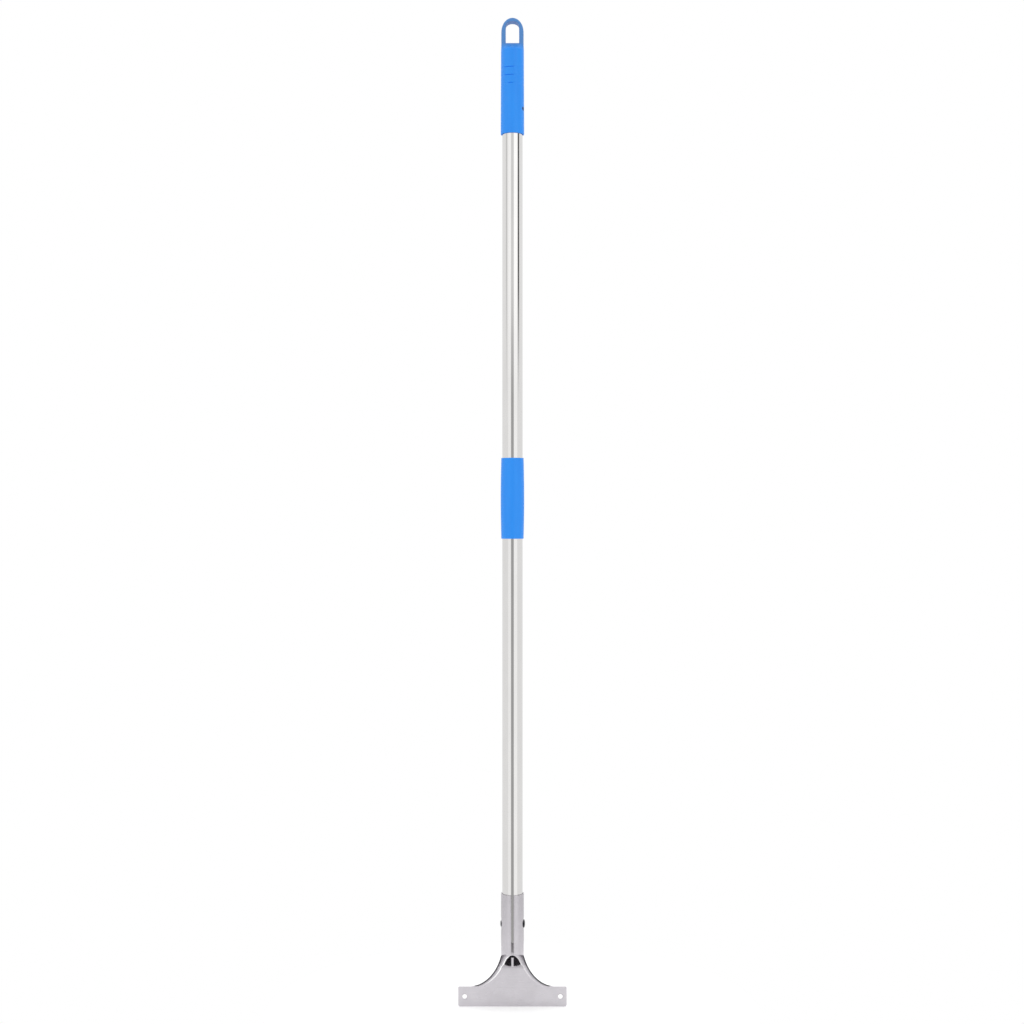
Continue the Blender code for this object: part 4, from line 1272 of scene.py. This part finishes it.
# The studio in sectors, from behind on the left round to behind on the right: the bearing
# in degrees where each ends, its brightness above the camera's height and below it.
SECTORS = (
    ("left wall", -78, 0.90, 0.87),
    ("grey flag", -66, 0.60, 0.87),
    ("left corner", -50, 0.90, 0.87),
    ("left panel", -16, 1.10, 1.00),
    ("gap for the camera", 15, 0.76, 0.40),
    ("right panel", 56, 1.25, 1.05),
    ("right corner", 66, 0.80, 0.87),
    ("black flag", 81, 0.00, 0.87),
    ("right wall", 180, 0.90, 0.87),
)


def sector_ramp(tree, turn, column):
    """Brightness round the studio: the sectors' own, with soft edges between them."""
    ramp = tree.nodes.new("ShaderNodeValToRGB")
    tree.links.new(turn, ramp.inputs["Fac"])
    stops = ramp.color_ramp.elements
    while len(stops) > 1:
        stops.remove(stops[-1])
    level = SECTORS[0][column]
    stops[0].color = (level, level, level, 1)
    begin = -180
    for sector in SECTORS:
        end, level = sector[1], sector[column]
        for bearing in (begin + PANEL_EDGE, end - PANEL_EDGE):
            stops.new((bearing + 180) / 360).color = (level, level, level, 1)
        begin = end
    return ramp.outputs["Color"]


def world_math(tree, operation, first, second=0.0):
    node = tree.nodes.new("ShaderNodeMath")
    node.operation = operation
    for index, value in enumerate((first, second)):
        if isinstance(value, bpy.types.NodeSocket):
            tree.links.new(value, node.inputs[index])
        else:
            node.inputs[index].default_value = value
    return node.outputs[0]


def world_fade(tree, value, fade, first, second):
    """The first colour below the fade's range, the second above it."""
    climb = tree.nodes.new("ShaderNodeMapRange")
    tree.links.new(value, climb.inputs["Value"])
    climb.inputs["From Min"].default_value, climb.inputs["From Max"].default_value = fade
    return world_mix(tree, climb.outputs["Result"], first, second)


def world_mix(tree, share, first, second):
    node = tree.nodes.new("ShaderNodeMix")
    node.data_type = "RGBA"
    tree.links.new(share, node.inputs[0])
    tree.links.new(first, node.inputs[6])
    if isinstance(second, bpy.types.NodeSocket):
        tree.links.new(second, node.inputs[7])
    else:
        node.inputs[7].default_value = second
    return node.outputs[2]


def studio_world():
    """Soft white light from all round, with two tall panels, two flags and a gap for the camera."""
    world = bpy.data.worlds.new("studio")
    world.use_nodes = True
    tree = world.node_tree
    tree.nodes.clear()
    place = tree.nodes.new("ShaderNodeTexCoord").outputs["Generated"]
    split = tree.nodes.new("ShaderNodeSeparateXYZ")
    tree.links.new(place, split.inputs[0])
    x, y, z = split.outputs["X"], split.outputs["Y"], split.outputs["Z"]
    bearing = world_math(tree, "ARCTAN2", x, world_math(tree, "MULTIPLY", y, -1.0))
    turn = world_math(tree, "ADD", world_math(tree, "DIVIDE", bearing, math.tau), 0.5)
    high, low = sector_ramp(tree, turn, 2), sector_ramp(tree, turn, 3)
    walls = world_fade(tree, z, HORIZON_FADE, low, high)
    whole = world_fade(tree, z, CEILING_FADE, walls, CEILING)
    seen = tree.nodes.new("ShaderNodeLightPath").outputs["Is Camera Ray"]
    light = tree.nodes.new("ShaderNodeBackground")
    tree.links.new(world_mix(tree, seen, whole, WHITE), light.inputs["Color"])
    out = tree.nodes.new("ShaderNodeOutputWorld")
    tree.links.new(light.outputs[0], out.inputs["Surface"])
    return world


def floor_paint(settings):
    """Pale matt floor with the faintest mottling."""
    finish = Finish("floor_paint", Specular_IOR_Level=0.2)
    cloud = finish.noise(6, 3, 0.5)
    base = finish.mix(cloud, shade(settings.floor, 0.99), shade(settings.floor, 1.01))
    finish.set("Base Color", base)
    finish.set("Roughness", 0.8)
    finish.set("Emission Color", WHITE)
    finish.set("Emission Strength", FLOOR_GLOW)
    return finish.material


class POLE_OT_stage(Operator):
    """Make the pale floor, the soft studio light and the camera"""

    bl_idname = "pole.stage"
    bl_label = "Stage"

    def execute(self, context):
        settings = context.scene.pole_stage
        scene = context.scene
        bm = bmesh.new()
        bmesh.ops.create_circle(bm, cap_ends=True, segments=96, radius=FLOOR_RADIUS)
        floor = new_object("floor", bm)
        floor.data.materials.append(floor_paint(settings))
        scene.world = studio_world()
        scene.view_settings.view_transform = "Standard"
        camera = bpy.data.cameras.new("camera")
        camera.lens = settings.lens
        camera.sensor_width = 36
        camera.shift_x = CAMERA_SHIFT
        camera.clip_end = 100
        holder = bpy.data.objects.new("camera", camera)
        scene.collection.objects.link(holder)
        holder.location = (0, -settings.distance, settings.eye)
        holder.rotation_euler = (math.pi / 2, 0, 0)
        scene.camera = holder
        return {"FINISHED"}


# Panel and registration

OPERATORS = (
    POLE_OT_tubes,
    POLE_OT_top_grip,
    POLE_OT_mid_grip,
    POLE_OT_head,
    POLE_OT_rivet,
    POLE_OT_joint,
    POLE_OT_stage,
)
GROUPS = {
    "pole_tubes": TubeSettings,
    "pole_grips": GripSettings,
    "pole_head": HeadSettings,
    "pole_thread": ThreadSettings,
    "pole_stage": StageSettings,
}


class POLE_PT_panel(Panel):
    """The pole's pieces and the sizes and colours that they take"""

    bl_idname = "POLE_PT_panel"
    bl_label = "Tool Pole"
    bl_space_type = "VIEW_3D"
    bl_region_type = "UI"
    bl_category = "Pole"

    def draw(self, context):
        for operator in OPERATORS:
            self.layout.operator(operator.bl_idname)
        for group in GROUPS:
            box = self.layout.box()
            settings = getattr(context.scene, group)
            for name in settings.bl_rna.properties.keys():
                if name not in ("rna_type", "name"):
                    box.prop(settings, name)


def register():
    for group in GROUPS.values():
        bpy.utils.register_class(group)
    for name, group in GROUPS.items():
        setattr(bpy.types.Scene, name, PointerProperty(type=group))
    for operator in OPERATORS:
        bpy.utils.register_class(operator)
    bpy.utils.register_class(POLE_PT_panel)


def unregister():
    bpy.utils.unregister_class(POLE_PT_panel)
    for operator in reversed(OPERATORS):
        bpy.utils.unregister_class(operator)
    for name, group in reversed(GROUPS.items()):
        delattr(bpy.types.Scene, name)
        bpy.utils.unregister_class(group)


def main():
    register()
    bpy.ops.pole.tubes()
    bpy.ops.pole.top_grip()
    bpy.ops.pole.mid_grip()
    bpy.ops.pole.head()
    bpy.ops.pole.rivet()
    bpy.ops.pole.joint()
    bpy.ops.pole.stage()


if __name__ == "__main__":
    main()
